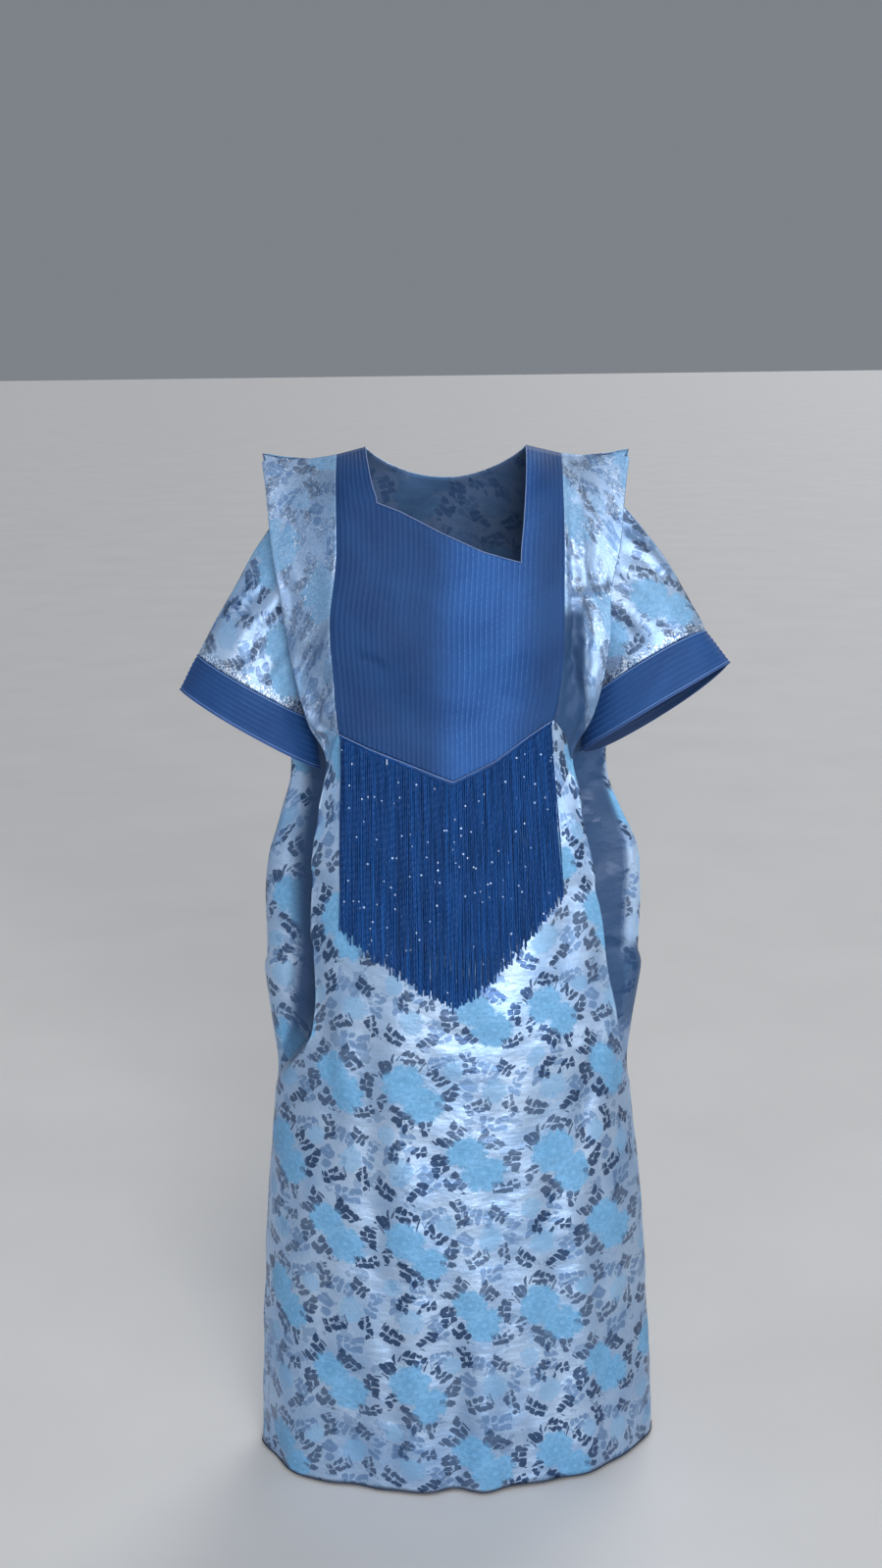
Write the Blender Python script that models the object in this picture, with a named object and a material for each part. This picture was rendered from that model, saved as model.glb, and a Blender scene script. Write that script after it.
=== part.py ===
"""Grand boubou robe, as worn: brocade front, back and flared sleeves with standing
shoulder flanges, a pintucked bib and cuffs, and a beaded fringe on the bib's V seam.

Metres, +Z up. The front faces -Y and the wearer's left is +X. The origin is the middle
of the shoulder line, where the wearer carries the robe.
"""
import math

import bmesh
import bpy
import numpy as np

CLOTH = 0.0018           # wall of the interfaced brocade
TUCKED = 0.0016          # wall of the pintucked cloth under its tucks
TUCK_RISE = 0.0012       # how far a pintuck stands proud
SEAM = 0.00015           # half of the gap between two pieces at a seam
FLOOR = -1.457           # the hem, just clear of the ground
WAIST = -0.400           # where the shoulder flange is tacked down
CORNER = -0.140          # level of the row that the neck corners share
FOLD_TOP = -0.012        # top of the flange's folded edge, under the shoulder ridge
ARMHOLE_TOP = -0.022
V_CORNER = -0.36         # level at which the bib's side seams meet its V seam
V_TIP = 0.530            # the V's point, as a share of the way across the bib
FLANGE_TOP = 0.24        # half width of the shoulder ridge
EDGE_RADIUS = 0.0027     # pressed fold along the flange's edge

TUCKS = 44               # pintucks across the bib
CUFF_TUCKS = 8           # pintucks around each cuff
STRAP_ROWS, BODY_ROWS = 4, 6
STRAP_COLUMNS = 16, 71   # bib columns at which the straps' inner edges come down
ARMHOLE_ROWS = 8         # rows of the flange that border the armhole
SIDE_COLUMNS, FOLD_COLUMNS, RETURN_COLUMNS, CENTRE_COLUMNS, BACK_COLUMNS = 6, 4, 3, 14, 8

STRAP_STEPS = (0.0, 0.13, 0.33, 0.63, 1.0)
SKIRT_ROWS = (WAIST, -0.46, -0.52, -0.58, -0.64, -0.715, -0.725, -0.80, -0.86, -0.93,
              -1.03, -1.14, -1.26, -1.37, FLOOR)

STRANDS = 110            # bead strands of the fringe
STRAND_WIDTH = 0.0016
STRAND_LENGTH = 0.305
STRAND_RISE = {-1: 0.045, 1: 0.070}    # how much shorter the outermost strands are
STRAND_SPLAY = {-1: -0.008, 1: 0.017}  # how far their tips hang outward
STRAND_CLEAR = 0.0007    # from a strand's side to the cloth behind it
STRIP_HEIGHT, STRIP_DEPTH = 0.006, 0.002
STRIP_STAND = 0.0011     # from the cloth's nearest point to the strip's back
STRIP_TOP = 0.0005       # how far the strip's top lies below the seam
STRIP_INSET = 0.002      # how far its ends stop short of the bib's side seams


def table(names, *rows):
    """A size table: one array for each named column, its rows in rising height."""
    values = np.array(rows, float)
    values = values[np.argsort(values[:, 0])]
    return dict(zip(names.split(), values.T))


# Depth in front of the shoulder plane: middle of the front, and its folded edge.
FRONT = table("z middle edge",
              (0.03, 0.100, 0.092), (-0.06, 0.105, 0.094), (-0.12, 0.112, 0.098),
              (-0.235, 0.121, 0.100), (-0.32, 0.119, 0.098), (WAIST, 0.125, 0.084),
              (-0.51, 0.133, 0.094), (-0.64, 0.142, 0.094), (-0.74, 0.149, 0.092),
              (-0.90, 0.150, 0.092), (FLOOR, 0.154, 0.092))
BACK = table("z middle edge fold_radius",
             (0.03, 0.080, 0.066, 0.003), (-0.06, 0.086, 0.070, 0.003),
             (-0.15, 0.098, 0.080, 0.003), (-0.30, 0.092, 0.078, 0.004),
             (WAIST, 0.092, 0.074, 0.008), (-0.50, 0.106, 0.072, 0.020),
             (-0.60, 0.119, 0.070, 0.030), (-0.72, 0.125, 0.068, 0.032),
             (-0.90, 0.126, 0.066, 0.032), (FLOOR, 0.130, 0.066, 0.032))

# Half widths on each side: front fold, side seam or armhole, and back fold.
EDGES = {
    -1: table("z front seam back",
              (0.01, 0.246, 0.178, 0.243), (-0.046, 0.237, 0.177, 0.234),
              (-0.12, 0.229, 0.175, 0.228), (-0.194, 0.217, 0.172, 0.224),
              (-0.284, 0.202, 0.166, 0.221), (-0.349, 0.186, 0.147, 0.221),
              (WAIST, 0.164, 0.136, 0.222), (-0.46, 0.176, 0.135, 0.226),
              (-0.51, 0.185, 0.136, 0.240), (-0.56, 0.188, 0.138, 0.257),
              (-0.64, 0.189, 0.142, 0.264), (-0.715, 0.188, 0.150, 0.263),
              (-0.725, 0.188, 0.152, 0.267), (-0.82, 0.203, 0.185, 0.262),
              (-0.93, 0.225, 0.200, 0.254), (FLOOR, 0.240, 0.210, 0.290)),
    1: table("z front seam back",
             (0.01, 0.246, 0.178, 0.243), (-0.046, 0.236, 0.177, 0.234),
             (-0.12, 0.227, 0.175, 0.229), (-0.174, 0.215, 0.172, 0.226),
             (-0.250, 0.211, 0.167, 0.224), (-0.342, 0.190, 0.148, 0.223),
             (WAIST, 0.164, 0.136, 0.223), (-0.46, 0.175, 0.135, 0.226),
             (-0.515, 0.185, 0.136, 0.249), (-0.56, 0.193, 0.138, 0.267),
             (-0.612, 0.202, 0.142, 0.271), (-0.715, 0.217, 0.156, 0.270),
             (-0.725, 0.219, 0.158, 0.274), (-0.82, 0.234, 0.195, 0.264),
             (-0.93, 0.240, 0.210, 0.256), (FLOOR, 0.250, 0.220, 0.290)),
}
# The straight skirt below the hips.
SKIRT = table("z half_width front back",
              (-0.70, 0.251, 0.147, 0.124), (-0.886, 0.2535, 0.150, 0.126),
              (-1.04, 0.268, 0.151, 0.127), (-1.20, 0.278, 0.152, 0.128),
              (-1.36, 0.2875, 0.153, 0.129), (FLOOR, 0.291, 0.154, 0.130))
SKIRT_POWER = 2.0        # 2 is an ellipse, more is squarer
SWING = 0.04             # how far the hem turns round the wearer, for each metre of half width
HEM_WAVES = ((9, 0.0035, 0.6), (14, 0.0020, 2.0))  # waves round the hem, height and phase
MERGE = (-0.78, -0.90)   # the side pleats run out between these heights
# Where the fold's two ends come to lie once it has run out, as shares of the way to the seam.
PLEAT_SHARES = {"front": (0.78, 0.90), "back": (0.84, 0.96)}

# The bib's side seams, its neckline and its V seam.
BIB_SIDE = {
    -1: table("z x", (0.0, 0.144), (-0.118, 0.142), (-0.218, 0.153), (-0.282, 0.150), (-0.36, 0.145)),
    1: table("z x", (0.0, 0.152), (-0.159, 0.151), (-0.286, 0.147), (-0.347, 0.136)),
}
NECKLINE = table("x z", (-0.090, -0.059), (-0.058, -0.071), (-0.006, -0.098), (0.046, -0.122),
                 (0.0945, -0.136))
V_SEAM = table("x z", (-0.145, -0.358), (-0.108, -0.375), (-0.063, -0.392), (0.004, -0.419),
               (0.059, -0.393), (0.109, -0.358), (0.136, -0.341))
SHOULDER = table("x z", (0.0, 0.030), (0.080, 0.013), (0.106, 0.006), (0.150, -0.004),
                 (0.180, -0.008), (0.215, -0.005), (0.243, 0.0))
BACK_NECK_DROP = 0.045   # how far the back neckline hangs below the neck's side
STRAP_INNER = 0.106      # half of the neck's width at the shoulder
BIB_CORNER = {-1: -0.105, 1: CORNER}   # where the bib's side seams pass the neckline's ends

# How each sheet leaves the shoulder: the strap turns down within its reach, the flange
# slopes like a tent. Rounding is the power of its fall from the middle to the edge.
REACH = {"front": 0.032, "back": 0.045, "flange": 0.127}
FLANGE_START = 0.12
ROUNDING = {"front": 2.5, "back": 2.3}
BUST = dict(x=0.075, z=-0.235, wide=0.048, tall=0.065, rise=0.012)
DENT = dict(z=-0.183, tall=0.014, start=0.160, full=0.180, drop=0.006)  # across the left flange

ARMHOLE = table("z depth",
                (ARMHOLE_TOP, 0.0045), (-0.037, 0.008), (-0.061, 0.016), (-0.096, 0.027),
                (CORNER, 0.037), (-0.183, 0.043), (-0.227, 0.041), (-0.270, 0.030), (-0.314, 0.0045))

# Sleeve mouths: ends of the seam with the cuff and of the cuff's edge, as (x, y, z).
SLEEVES = {
    -1: dict(seam_top=(-0.333, -0.026, -0.264), seam_bottom=(-0.183, -0.026, -0.352),
             edge_top=(-0.360, -0.026, -0.311), edge_bottom=(-0.178, -0.026, -0.421),
             depth=0.050, back_drop=0.10, sag=0.0, camber=0.006),
    1: dict(seam_top=(0.343, -0.026, -0.241), seam_bottom=(0.182, -0.026, -0.336),
            edge_top=(0.376, -0.026, -0.283), edge_bottom=(0.180, -0.026, -0.401),
            depth=0.052, back_drop=0.45, sag=0.009, camber=0.014),
}
SLEEVE_ROWS = 5
CAMBER_FADE = 0.15       # a sleeve's top arches, and its underside doesn't
SIDE_NAMES = {-1: "right", 1: "left"}

MATERIALS = {
    "brocade": ((0.50, 0.60, 0.80), 0.38, 0.25),
    "pintuck_blue": ((0.050, 0.110, 0.300), 0.55, 0.0),
    "bead_blue": ((0.012, 0.045, 0.190), 0.30, 0.0),
}


def read(columns, name, at, key="z"):
    """A table's column at a height, on a smooth curve that never overshoots its rows."""
    x, y = columns[key], columns[name]
    at = np.clip(np.asarray(at, float), x[0], x[-1])
    step, slope = np.diff(x), np.diff(y) / np.diff(x)
    tangent = np.concatenate(([slope[0]], 0.5 * (slope[1:] + slope[:-1]), [slope[-1]]))
    turns = np.concatenate(([False], slope[1:] * slope[:-1] <= 0, [False]))
    tangent[turns] = 0.0
    i = np.clip(np.searchsorted(x, at) - 1, 0, len(step) - 1)
    t = (at - x[i]) / step[i]
    return (y[i] * (1 + 2 * t) * (1 - t) ** 2 + tangent[i] * step[i] * t * (1 - t) ** 2
            + y[i + 1] * t * t * (3 - 2 * t) - tangent[i + 1] * step[i] * t * t * (1 - t))


def straight(columns, name, at, key="x"):
    """A table's column read along straight runs, for seams with corners."""
    return np.interp(at, columns[key], columns[name])


def ease(start, end, at):
    t = np.clip((np.asarray(at, float) - start) / (end - start), 0.0, 1.0)
    return t * t * (3 - 2 * t)


def mix(a, b, t):
    return a + (b - a) * t


def shoulder_z(x):
    return straight(SHOULDER, "z", np.abs(x))


def onset(part, x, z, edge):
    """How much of its full depth the cloth has reached, this far below the shoulder."""
    reach = mix(REACH[part], REACH["flange"], ease(FLANGE_START, edge, x))
    return 1.0 - np.exp(-np.maximum(shoulder_z(x) - z, 0.0) / reach)


def front_depth(side, x, z):
    """Depth of the front sheet ahead of the shoulder plane."""
    x = np.abs(x)
    edge = read(EDGES[side], "front", z)
    middle, fold = read(FRONT, "middle", z), read(FRONT, "edge", z)
    depth = middle - (middle - fold) * np.minimum(x / edge, 1.0) ** ROUNDING["front"]
    depth += BUST["rise"] * np.exp(-((x - BUST["x"]) / BUST["wide"]) ** 2
                                   - ((z - BUST["z"]) / BUST["tall"]) ** 2)
    if side > 0:
        depth -= (DENT["drop"] * ease(DENT["start"], DENT["full"], x)
                  * np.exp(-((z - DENT["z"]) / DENT["tall"]) ** 2))
    return depth * onset("front", x, z, edge) + SEAM


def back_depth(side, x, z):
    """Depth of the back sheet behind the shoulder plane."""
    x = np.abs(x)
    edge = read(EDGES[side], "back", z)
    middle, fold = read(BACK, "middle", z), read(BACK, "edge", z)
    depth = middle - (middle - fold) * np.minimum(x / edge, 1.0) ** ROUNDING["back"]
    return depth * onset("back", x, z, edge) + SEAM


def folded_side(edge_x, sheet_depth, radius, seam_x, seam_depth):
    """The folded edge and its return: an arc, then a straight run in to the seam.

    The arc ends where a line from the seam touches its circle.
    """
    centre = np.array([edge_x - radius, sheet_depth - radius])
    to_seam = np.array([seam_x, seam_depth]) - centre
    far = math.hypot(*to_seam)
    end = math.atan2(to_seam[1], to_seam[0]) + math.acos(min(radius / far, 1.0))
    turn = np.linspace(math.pi / 2, end, FOLD_COLUMNS + 1)[1:]
    arc = centre + radius * np.column_stack((np.cos(turn), np.sin(turn)))
    run = np.linspace(0.0, 1.0, RETURN_COLUMNS + 1)[1:, None]
    return np.vstack((arc, mix(arc[-1], np.array([seam_x, seam_depth]), run)))


def oval(z, part, share):
    """A point of the straight skirt's section; share runs 0 at the middle to 1 at the seam."""
    half, depth = read(SKIRT, "half_width", z), read(SKIRT, part, z)
    angle = np.asarray(share) * math.pi / 2
    x = half * np.sin(angle) ** (2 / SKIRT_POWER)
    out = depth * np.maximum(np.cos(angle), 0.0) ** (2 / SKIRT_POWER) + SEAM
    return np.column_stack(np.broadcast_arrays(x, out))


def oval_share(z, x):
    """The share at which the oval section is x away from the middle."""
    half = read(SKIRT, "half_width", z)
    return np.arcsin(np.clip(np.abs(x) / half, 0, 1) ** (SKIRT_POWER / 2)) * 2 / math.pi


def hang(points):
    """The lower skirt swings a little round the wearer, and its hem waves."""
    x, y, z = points[..., 0], points[..., 1], points[..., 2]
    low = ease(MERGE[1], FLOOR, z)
    angle = np.arctan2(y, x)
    wave = sum(height * np.sin(count * angle + phase) for count, height, phase in HEM_WAVES)
    stretch = 1 + low * wave / np.maximum(np.hypot(x, y), 1e-6)
    hung = points.copy()
    hung[..., 0] = x * stretch
    hung[..., 1] = y * stretch + SWING * low * x
    return hung


def row_heights(top, corner, bottom):
    """Heights of one column's rows from the shoulder down to the waist."""
    upper = [mix(top, corner, step) for step in STRAP_STEPS]
    lower = [mix(corner, bottom, step / BODY_ROWS) for step in range(1, BODY_ROWS + 1)]
    return np.array(upper + lower)


def below_armhole(z):
    return z < ARMHOLE["z"][0] - 0.002


def seam_depth(z):
    """Half depth of the armhole, closing to the side seam's gap below it."""
    depth = read(ARMHOLE, "depth", z)
    return np.where(below_armhole(z), SEAM, depth)


def side_point(side, part, column, z):
    """One point of the side columns of the front or back, counted outward from the sheet.

    Columns run over the sheet, round the fold and back along the return to the seam.
    """
    sheet = SIDE_COLUMNS if part == "front" else BACK_COLUMNS
    depth_of = front_depth if part == "front" else back_depth
    radius = EDGE_RADIUS if part == "front" else float(read(BACK, "fold_radius", z))
    edge = float(read(EDGES[side], part, z))
    inner = bib_edge(side, z) if part == "front" else 0.0
    if column <= sheet:
        x = mix(inner, edge - radius, column / sheet)
        folded = np.array([x, depth_of(side, x, z)])
    else:
        sheet_depth = float(depth_of(side, edge - radius, z))
        seam_x = float(read(EDGES[side], "seam", z))
        folded = folded_side(edge, sheet_depth, radius, seam_x, float(seam_depth(z)))[column - sheet - 1]
    merged = float(ease(*MERGE, z))
    if merged == 0.0:
        return folded
    start = float(oval_share(z, inner))
    bounds = (0, sheet, sheet + FOLD_COLUMNS, sheet + FOLD_COLUMNS + RETURN_COLUMNS)
    plain = oval(z, part, np.interp(column, bounds, (start, *PLEAT_SHARES[part], 1.0)))[0]
    return mix(folded, plain, merged)


def bib_edge(side, z):
    return float(read(BIB_SIDE[side], "x", z))


def centre_point(x, z):
    """A point of the front between the bib's side seams, or below them."""
    side = 1 if x >= 0 else -1
    folded = np.array([abs(x), float(front_depth(side, x, z))])
    merged = float(ease(*MERGE, z))
    plain = oval(z, "front", oval_share(z, x))[0]
    point = mix(folded, plain, merged)
    return side * point[0], -point[1], z


def normals(grid, wrap=False):
    """Outward normals of a grid whose columns run with the front's left to right."""
    if wrap:
        along = np.roll(grid, -1, 1) - np.roll(grid, 1, 1)
    else:
        along = np.gradient(grid, axis=1)
    down = np.gradient(grid, axis=0)
    out = np.cross(down, along)
    return out / np.maximum(np.linalg.norm(out, axis=2, keepdims=True), 1e-12)


def collection():
    name = "grand_boubou_robe"
    if name not in bpy.data.collections:
        made = bpy.data.collections.new(name)
        bpy.context.scene.collection.children.link(made)
    return bpy.data.collections[name]


def material(name):
    if name in bpy.data.materials:
        return bpy.data.materials[name]
    colour, roughness, metallic = MATERIALS[name]
    made = bpy.data.materials.new(name)
    made.use_nodes = True
    shader = made.node_tree.nodes["Principled BSDF"]
    shader.inputs["Base Color"].default_value = (*colour, 1.0)
    shader.inputs["Roughness"].default_value = roughness
    shader.inputs["Metallic"].default_value = metallic
    return made


def add_object(name, mesh, finish):
    mesh.shade_smooth()
    mesh.set_sharp_from_angle(angle=math.radians(40))
    mesh.materials.append(material(finish))
    made = bpy.data.objects.new(name, mesh)
    collection().objects.link(made)
    return made


def wall(name, outer, inner, finish, cells=None, wrap=False):
    """A closed cloth wall between two grids of points; cells says which squares are cloth."""
    rows, columns = outer.shape[:2]
    across = columns if wrap else columns - 1
    if cells is None:
        cells = np.ones((rows - 1, across), bool)
    faces, used = [], {}

    def at(layer, row, column):
        key = (layer, row, column % columns)
        return used.setdefault(key, len(used))

    def has(row, column):
        if wrap:
            column %= columns
        return 0 <= row < rows - 1 and 0 <= column < across and cells[row, column]

    for row in range(rows - 1):
        for column in range(across):
            if not cells[row, column]:
                continue
            ring = [(row, column), (row + 1, column), (row + 1, column + 1), (row, column + 1)]
            faces.append([at(0, *corner) for corner in ring])
            faces.append([at(1, *corner) for corner in reversed(ring)])
            beside = [(row, column - 1), (row + 1, column), (row, column + 1), (row - 1, column)]
            for (a, b), neighbour in zip(zip(ring, ring[1:] + ring[:1]), beside):
                if not has(*neighbour):
                    faces.append([at(0, *b), at(0, *a), at(1, *a), at(1, *b)])
    points = [(outer, inner)[layer][row, column].tolist() for layer, row, column in used]
    mesh = bpy.data.meshes.new(name)
    mesh.from_pydata(points, [], faces)
    return add_object(name, mesh, finish)


def seam_joint(base, normal, thickness, direction):
    """Inner points that meet a neighbour along a mitre: they move straight along direction."""
    lean = np.maximum(np.abs((normal * direction).sum(-1, keepdims=True)), 0.45)
    return base + np.asarray(direction) * thickness / lean


def inner_face(base, thickness, wrap=False, side_mitres=()):
    """The wall's inner points. Mitred edges stay in the plane that two pieces share."""
    out = normals(base, wrap)
    inner = base - out * thickness
    for column, side in side_mitres:
        below = below_armhole(base[:, column, 2])
        met = seam_joint(base[:, column], out[:, column], thickness, (-side, 0.0, 0.0))
        inner[below, column] = met[below]
    return inner


def flange_heights(side, column):
    """Row heights of a flange column, easing from the bib's rows to level ones."""
    share = min(column / SIDE_COLUMNS, 1.0)
    x = mix(bib_edge(side, 0.0), FLANGE_TOP, share)
    fold = column - SIDE_COLUMNS
    if fold <= 0:
        top = float(shoulder_z(x))
    elif fold <= FOLD_COLUMNS:
        top = mix(0.0, FOLD_TOP, min(fold / 2, 1.0))
    else:
        top = mix(FOLD_TOP, ARMHOLE_TOP, (fold - FOLD_COLUMNS) / RETURN_COLUMNS)
    corner = mix(BIB_CORNER[side], CORNER, share)
    bottom = mix(V_END[side], WAIST, share)
    return row_heights(top, corner, bottom)


V_X = {side: side * bib_edge(side, V_CORNER) for side in (-1, 1)}
V_END = {side: float(straight(V_SEAM, "z", V_X[side])) for side in (-1, 1)}


def centre_share(column):
    """Share across the front for a skirt column, one of which meets the V's point."""
    half = CENTRE_COLUMNS / 2
    return mix(0.0, V_TIP, column / half) if column <= half else mix(V_TIP, 1.0, column / half - 1)


def v_seam_z(x):
    """Height of the V seam, straight between the skirt's columns."""
    shares = [centre_share(column) for column in range(CENTRE_COLUMNS + 1)]
    across = mix(V_X[-1], V_X[1], np.array(shares))
    return float(np.interp(x, across, straight(V_SEAM, "z", across)))


def side_front(side):
    """The flange: from the bib's seam out to the folded edge and in to the armhole."""
    count = SIDE_COLUMNS + FOLD_COLUMNS + RETURN_COLUMNS + 1
    grid = np.zeros((STRAP_ROWS + BODY_ROWS + 1, count, 3))
    for column in range(count):
        for row, z in enumerate(flange_heights(side, column)):
            x, depth = side_point(side, "front", column, z)
            grid[row, column] = (side * x, -depth, z)
    grid[-1, :, 2] += SEAM
    grid[:, 0, 0] += side * SEAM
    if side < 0:
        grid = grid[:, ::-1]
    seam_column = 0 if side < 0 else count - 1
    inner = inner_face(grid, CLOTH, side_mitres=[(seam_column, side)])
    out = normals(grid)
    bib_column = count - 1 - seam_column
    inner[:, bib_column] = seam_joint(grid[:, bib_column], out[:, bib_column], CLOTH, (0.0, 1.0, 0.0))
    sheet = slice(count - SIDE_COLUMNS - 1, count) if side < 0 else slice(0, SIDE_COLUMNS + 1)
    inner[0, sheet] = seam_joint(grid[0], out[0], CLOTH, (0.0, 0.0, -1.0))[sheet]
    return wall("side_front_" + SIDE_NAMES[side], grid, inner, "brocade")


def front_bib():
    """The pintucked bib: two straps, the slanting neckline and the V seam."""
    count = 2 * TUCKS + 1
    left, right = STRAP_COLUMNS
    share = np.linspace(0.0, 1.0, count)
    rows = STRAP_ROWS + BODY_ROWS + 1
    base = np.zeros((rows, count, 3))
    corner_x = {side: side * bib_edge(side, BIB_CORNER[side]) for side in (-1, 1)}
    for column, u in enumerate(share):
        level_x = mix(corner_x[-1], corner_x[1], u)
        v_x = mix(V_X[-1], V_X[1], u)
        if column <= left:
            corner, across = mix(BIB_CORNER[-1], NECKLINE["z"][0], column / left), column / left
        elif column >= right:
            across = (count - 1 - column) / (count - 1 - right)
            corner = mix(BIB_CORNER[1], NECKLINE["z"][-1], across)
        else:
            corner = float(straight(NECKLINE, "z", level_x))
        side = -1 if column <= left else 1
        top = mix(bib_edge(side, 0.0), STRAP_INNER, across) if not left < column < right else 0.0
        heights = row_heights(float(shoulder_z(top)), corner, v_seam_z(v_x))
        for row, z in enumerate(heights):
            if row < STRAP_ROWS:
                if left < column < right:
                    continue
                inner_x = mix(STRAP_INNER, abs(NECKLINE["x"][0 if side < 0 else -1]), STRAP_STEPS[row])
                x = side * mix(bib_edge(side, z), inner_x, across)
            else:
                x = mix(-bib_edge(-1, z), bib_edge(1, z), u)
            base[row, column] = centre_point(x, z)
    base[:, 0, 0] += SEAM
    base[:, -1, 0] -= SEAM
    base[-1, :, 2] += SEAM
    cells = np.ones((rows - 1, count - 1), bool)
    cells[:STRAP_ROWS, left:right] = False

    body = base[STRAP_ROWS:]
    out = np.zeros_like(base)
    out[STRAP_ROWS:] = normals(body)
    for strap in (slice(0, left + 1), slice(right, count)):
        out[:STRAP_ROWS + 1, strap] = normals(base[:STRAP_ROWS + 2, strap])[:-1]
    inner = base - out * TUCKED
    for column in (0, -1):
        inner[:, column] = seam_joint(base[:, column], out[:, column], TUCKED, (0.0, 1.0, 0.0))
    inner[0] = seam_joint(base[0], out[0], TUCKED, (0.0, 0.0, -1.0))
    raised = np.where(np.arange(count) % 2, TUCK_RISE, 0.0)[None, :, None]
    raised = np.repeat(raised, rows, 0)
    raised[0] = 0.0
    return wall("front_bib", base + out * raised, inner, "pintuck_blue", cells)


def front_skirt():
    """The front below the V seam, with the side pleats' folded edges, down to the hem."""
    sides = SIDE_COLUMNS + FOLD_COLUMNS + RETURN_COLUMNS
    count = 2 * sides + CENTRE_COLUMNS + 1
    grid = np.zeros((len(SKIRT_ROWS), count, 3))
    for row, level in enumerate(SKIRT_ROWS):
        for column in range(count):
            side = -1 if column < count / 2 else 1
            outward = (sides - column) if side < 0 else column - sides - CENTRE_COLUMNS
            if outward >= 0:
                z = flange_heights(side, outward)[-1] if row == 0 else level
                x, depth = side_point(side, "front", outward, z)
                grid[row, column] = (side * x, -depth, z)
            else:
                u = centre_share(column - sides)
                x = mix(V_X[-1], V_X[1], u)
                z = v_seam_z(x) if row == 0 else level
                grid[row, column] = centre_point(x, z)
    grid[0, :, 2] -= SEAM
    grid = hang(grid)
    inner = inner_face(grid, CLOTH, side_mitres=[(0, -1), (count - 1, 1)])
    return wall("front_skirt", grid, inner, "brocade")


def back_heights(side, column):
    """Row heights of a back column, counted outward from the middle."""
    fold = column - BACK_COLUMNS
    x = FLANGE_TOP * min(column / BACK_COLUMNS, 1.0)
    if fold > 0:
        top = flange_heights(side, SIDE_COLUMNS + fold)[0]
    elif x < STRAP_INNER:
        top = float(shoulder_z(STRAP_INNER)) - BACK_NECK_DROP * (1 - (x / STRAP_INNER) ** 2) ** 0.8
    else:
        top = float(shoulder_z(x))
    return row_heights(top, CORNER, WAIST)


def back():
    """The whole back, from neckline and shoulder ridge to the hem."""
    half = BACK_COLUMNS + FOLD_COLUMNS + RETURN_COLUMNS
    count = 2 * half + 1
    upper = STRAP_ROWS + BODY_ROWS + 1
    grid = np.zeros((upper + len(SKIRT_ROWS) - 1, count, 3))
    for column in range(count):
        side = 1 if column <= half else -1
        outward = abs(half - column)
        heights = np.concatenate((back_heights(side, outward), SKIRT_ROWS[1:]))
        for row, z in enumerate(heights):
            x, depth = side_point(side, "back", outward, z)
            grid[row, column] = (side * x, depth, z)
    grid[upper:] = hang(grid[upper:])
    inner = inner_face(grid, CLOTH, side_mitres=[(0, 1), (count - 1, -1)])
    out = normals(grid)
    shoulder = [c for c in range(count)
                if STRAP_INNER - 0.002 < abs(grid[0, c, 0]) and abs(half - c) <= BACK_COLUMNS]
    inner[0, shoulder] = seam_joint(grid[0], out[0], CLOTH, (0.0, 0.0, -1.0))[shoulder]
    return wall("back", grid, inner, "brocade")


def mouth(side, t):
    """A pressed oval ring of the cuff, from its top round the front to the bottom and back.

    t runs from 0 at the seam with the sleeve to 1 at the cuff's edge.
    """
    cut = SLEEVES[side]
    top = mix(np.array(cut["seam_top"]), np.array(cut["edge_top"]), t)
    bottom = mix(np.array(cut["seam_bottom"]), np.array(cut["edge_bottom"]), t)
    count = ARMHOLE_ROWS + 1
    angle = math.pi * (np.arange(count) + 0.4) / (count - 0.2)
    spine = (top + bottom) / 2 - (bottom - top) / 2 * np.cos(angle)[:, None]
    spine[:, 2] -= cut["sag"] * t * np.sin(angle)
    deep = np.array([0.0, 1.0, -cut["back_drop"]]) * (np.sin(angle) ** 1.2 * cut["depth"])[:, None]
    return np.vstack((spine - deep, (spine + deep)[::-1]))


def sleeve_rings(side):
    """The sleeve's rows, from the armhole to the cuff seam."""
    cut = SLEEVES[side]
    heights = flange_heights(side, SIDE_COLUMNS + FOLD_COLUMNS + RETURN_COLUMNS)[:ARMHOLE_ROWS + 1]
    x = side * (read(EDGES[side], "seam", heights) + 2 * SEAM)
    depth = seam_depth(heights) - 2 * SEAM
    root = np.vstack((np.column_stack((x, -depth, heights)),
                      np.column_stack((x, depth, heights))[::-1]))
    end = mouth(side, 0.0)
    rings = []
    for row in range(SLEEVE_ROWS + 1):
        t = row / SLEEVE_ROWS
        ring = mix(root, end, t)
        high = 1 - np.clip((ring[:, 2].max() - ring[:, 2]) / CAMBER_FADE, 0, 1)
        arch = cut["camber"] * math.sin(math.pi * t) * high
        ring[:, 0] += side * arch
        ring[:, 2] += 0.4 * arch
        rings.append(ring)
    return np.array(rings)


def oriented(grid, side):
    """Ring order that keeps a tube's normals pointing out."""
    return grid[:, ::-1] if side > 0 else grid


def in_plane(ring, normal):
    """Normals turned into their ring's own plane, so that two tubes meet face to face."""
    across, along = ring[len(ring) // 4] - ring[-1], ring[len(ring) // 2] - ring[-1]
    axis = np.cross(across, along)
    axis /= np.linalg.norm(axis)
    flat = normal - (normal @ axis)[:, None] * axis
    return flat / np.linalg.norm(flat, axis=1, keepdims=True)


def sleeve(side):
    grid = oriented(sleeve_rings(side), side)
    inner = inner_face(grid, CLOTH, wrap=True)
    inner[-1] = grid[-1] - in_plane(grid[-1], normals(grid, wrap=True)[-1]) * CLOTH
    return wall("sleeve_" + SIDE_NAMES[side], grid, inner, "brocade", wrap=True)


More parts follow.
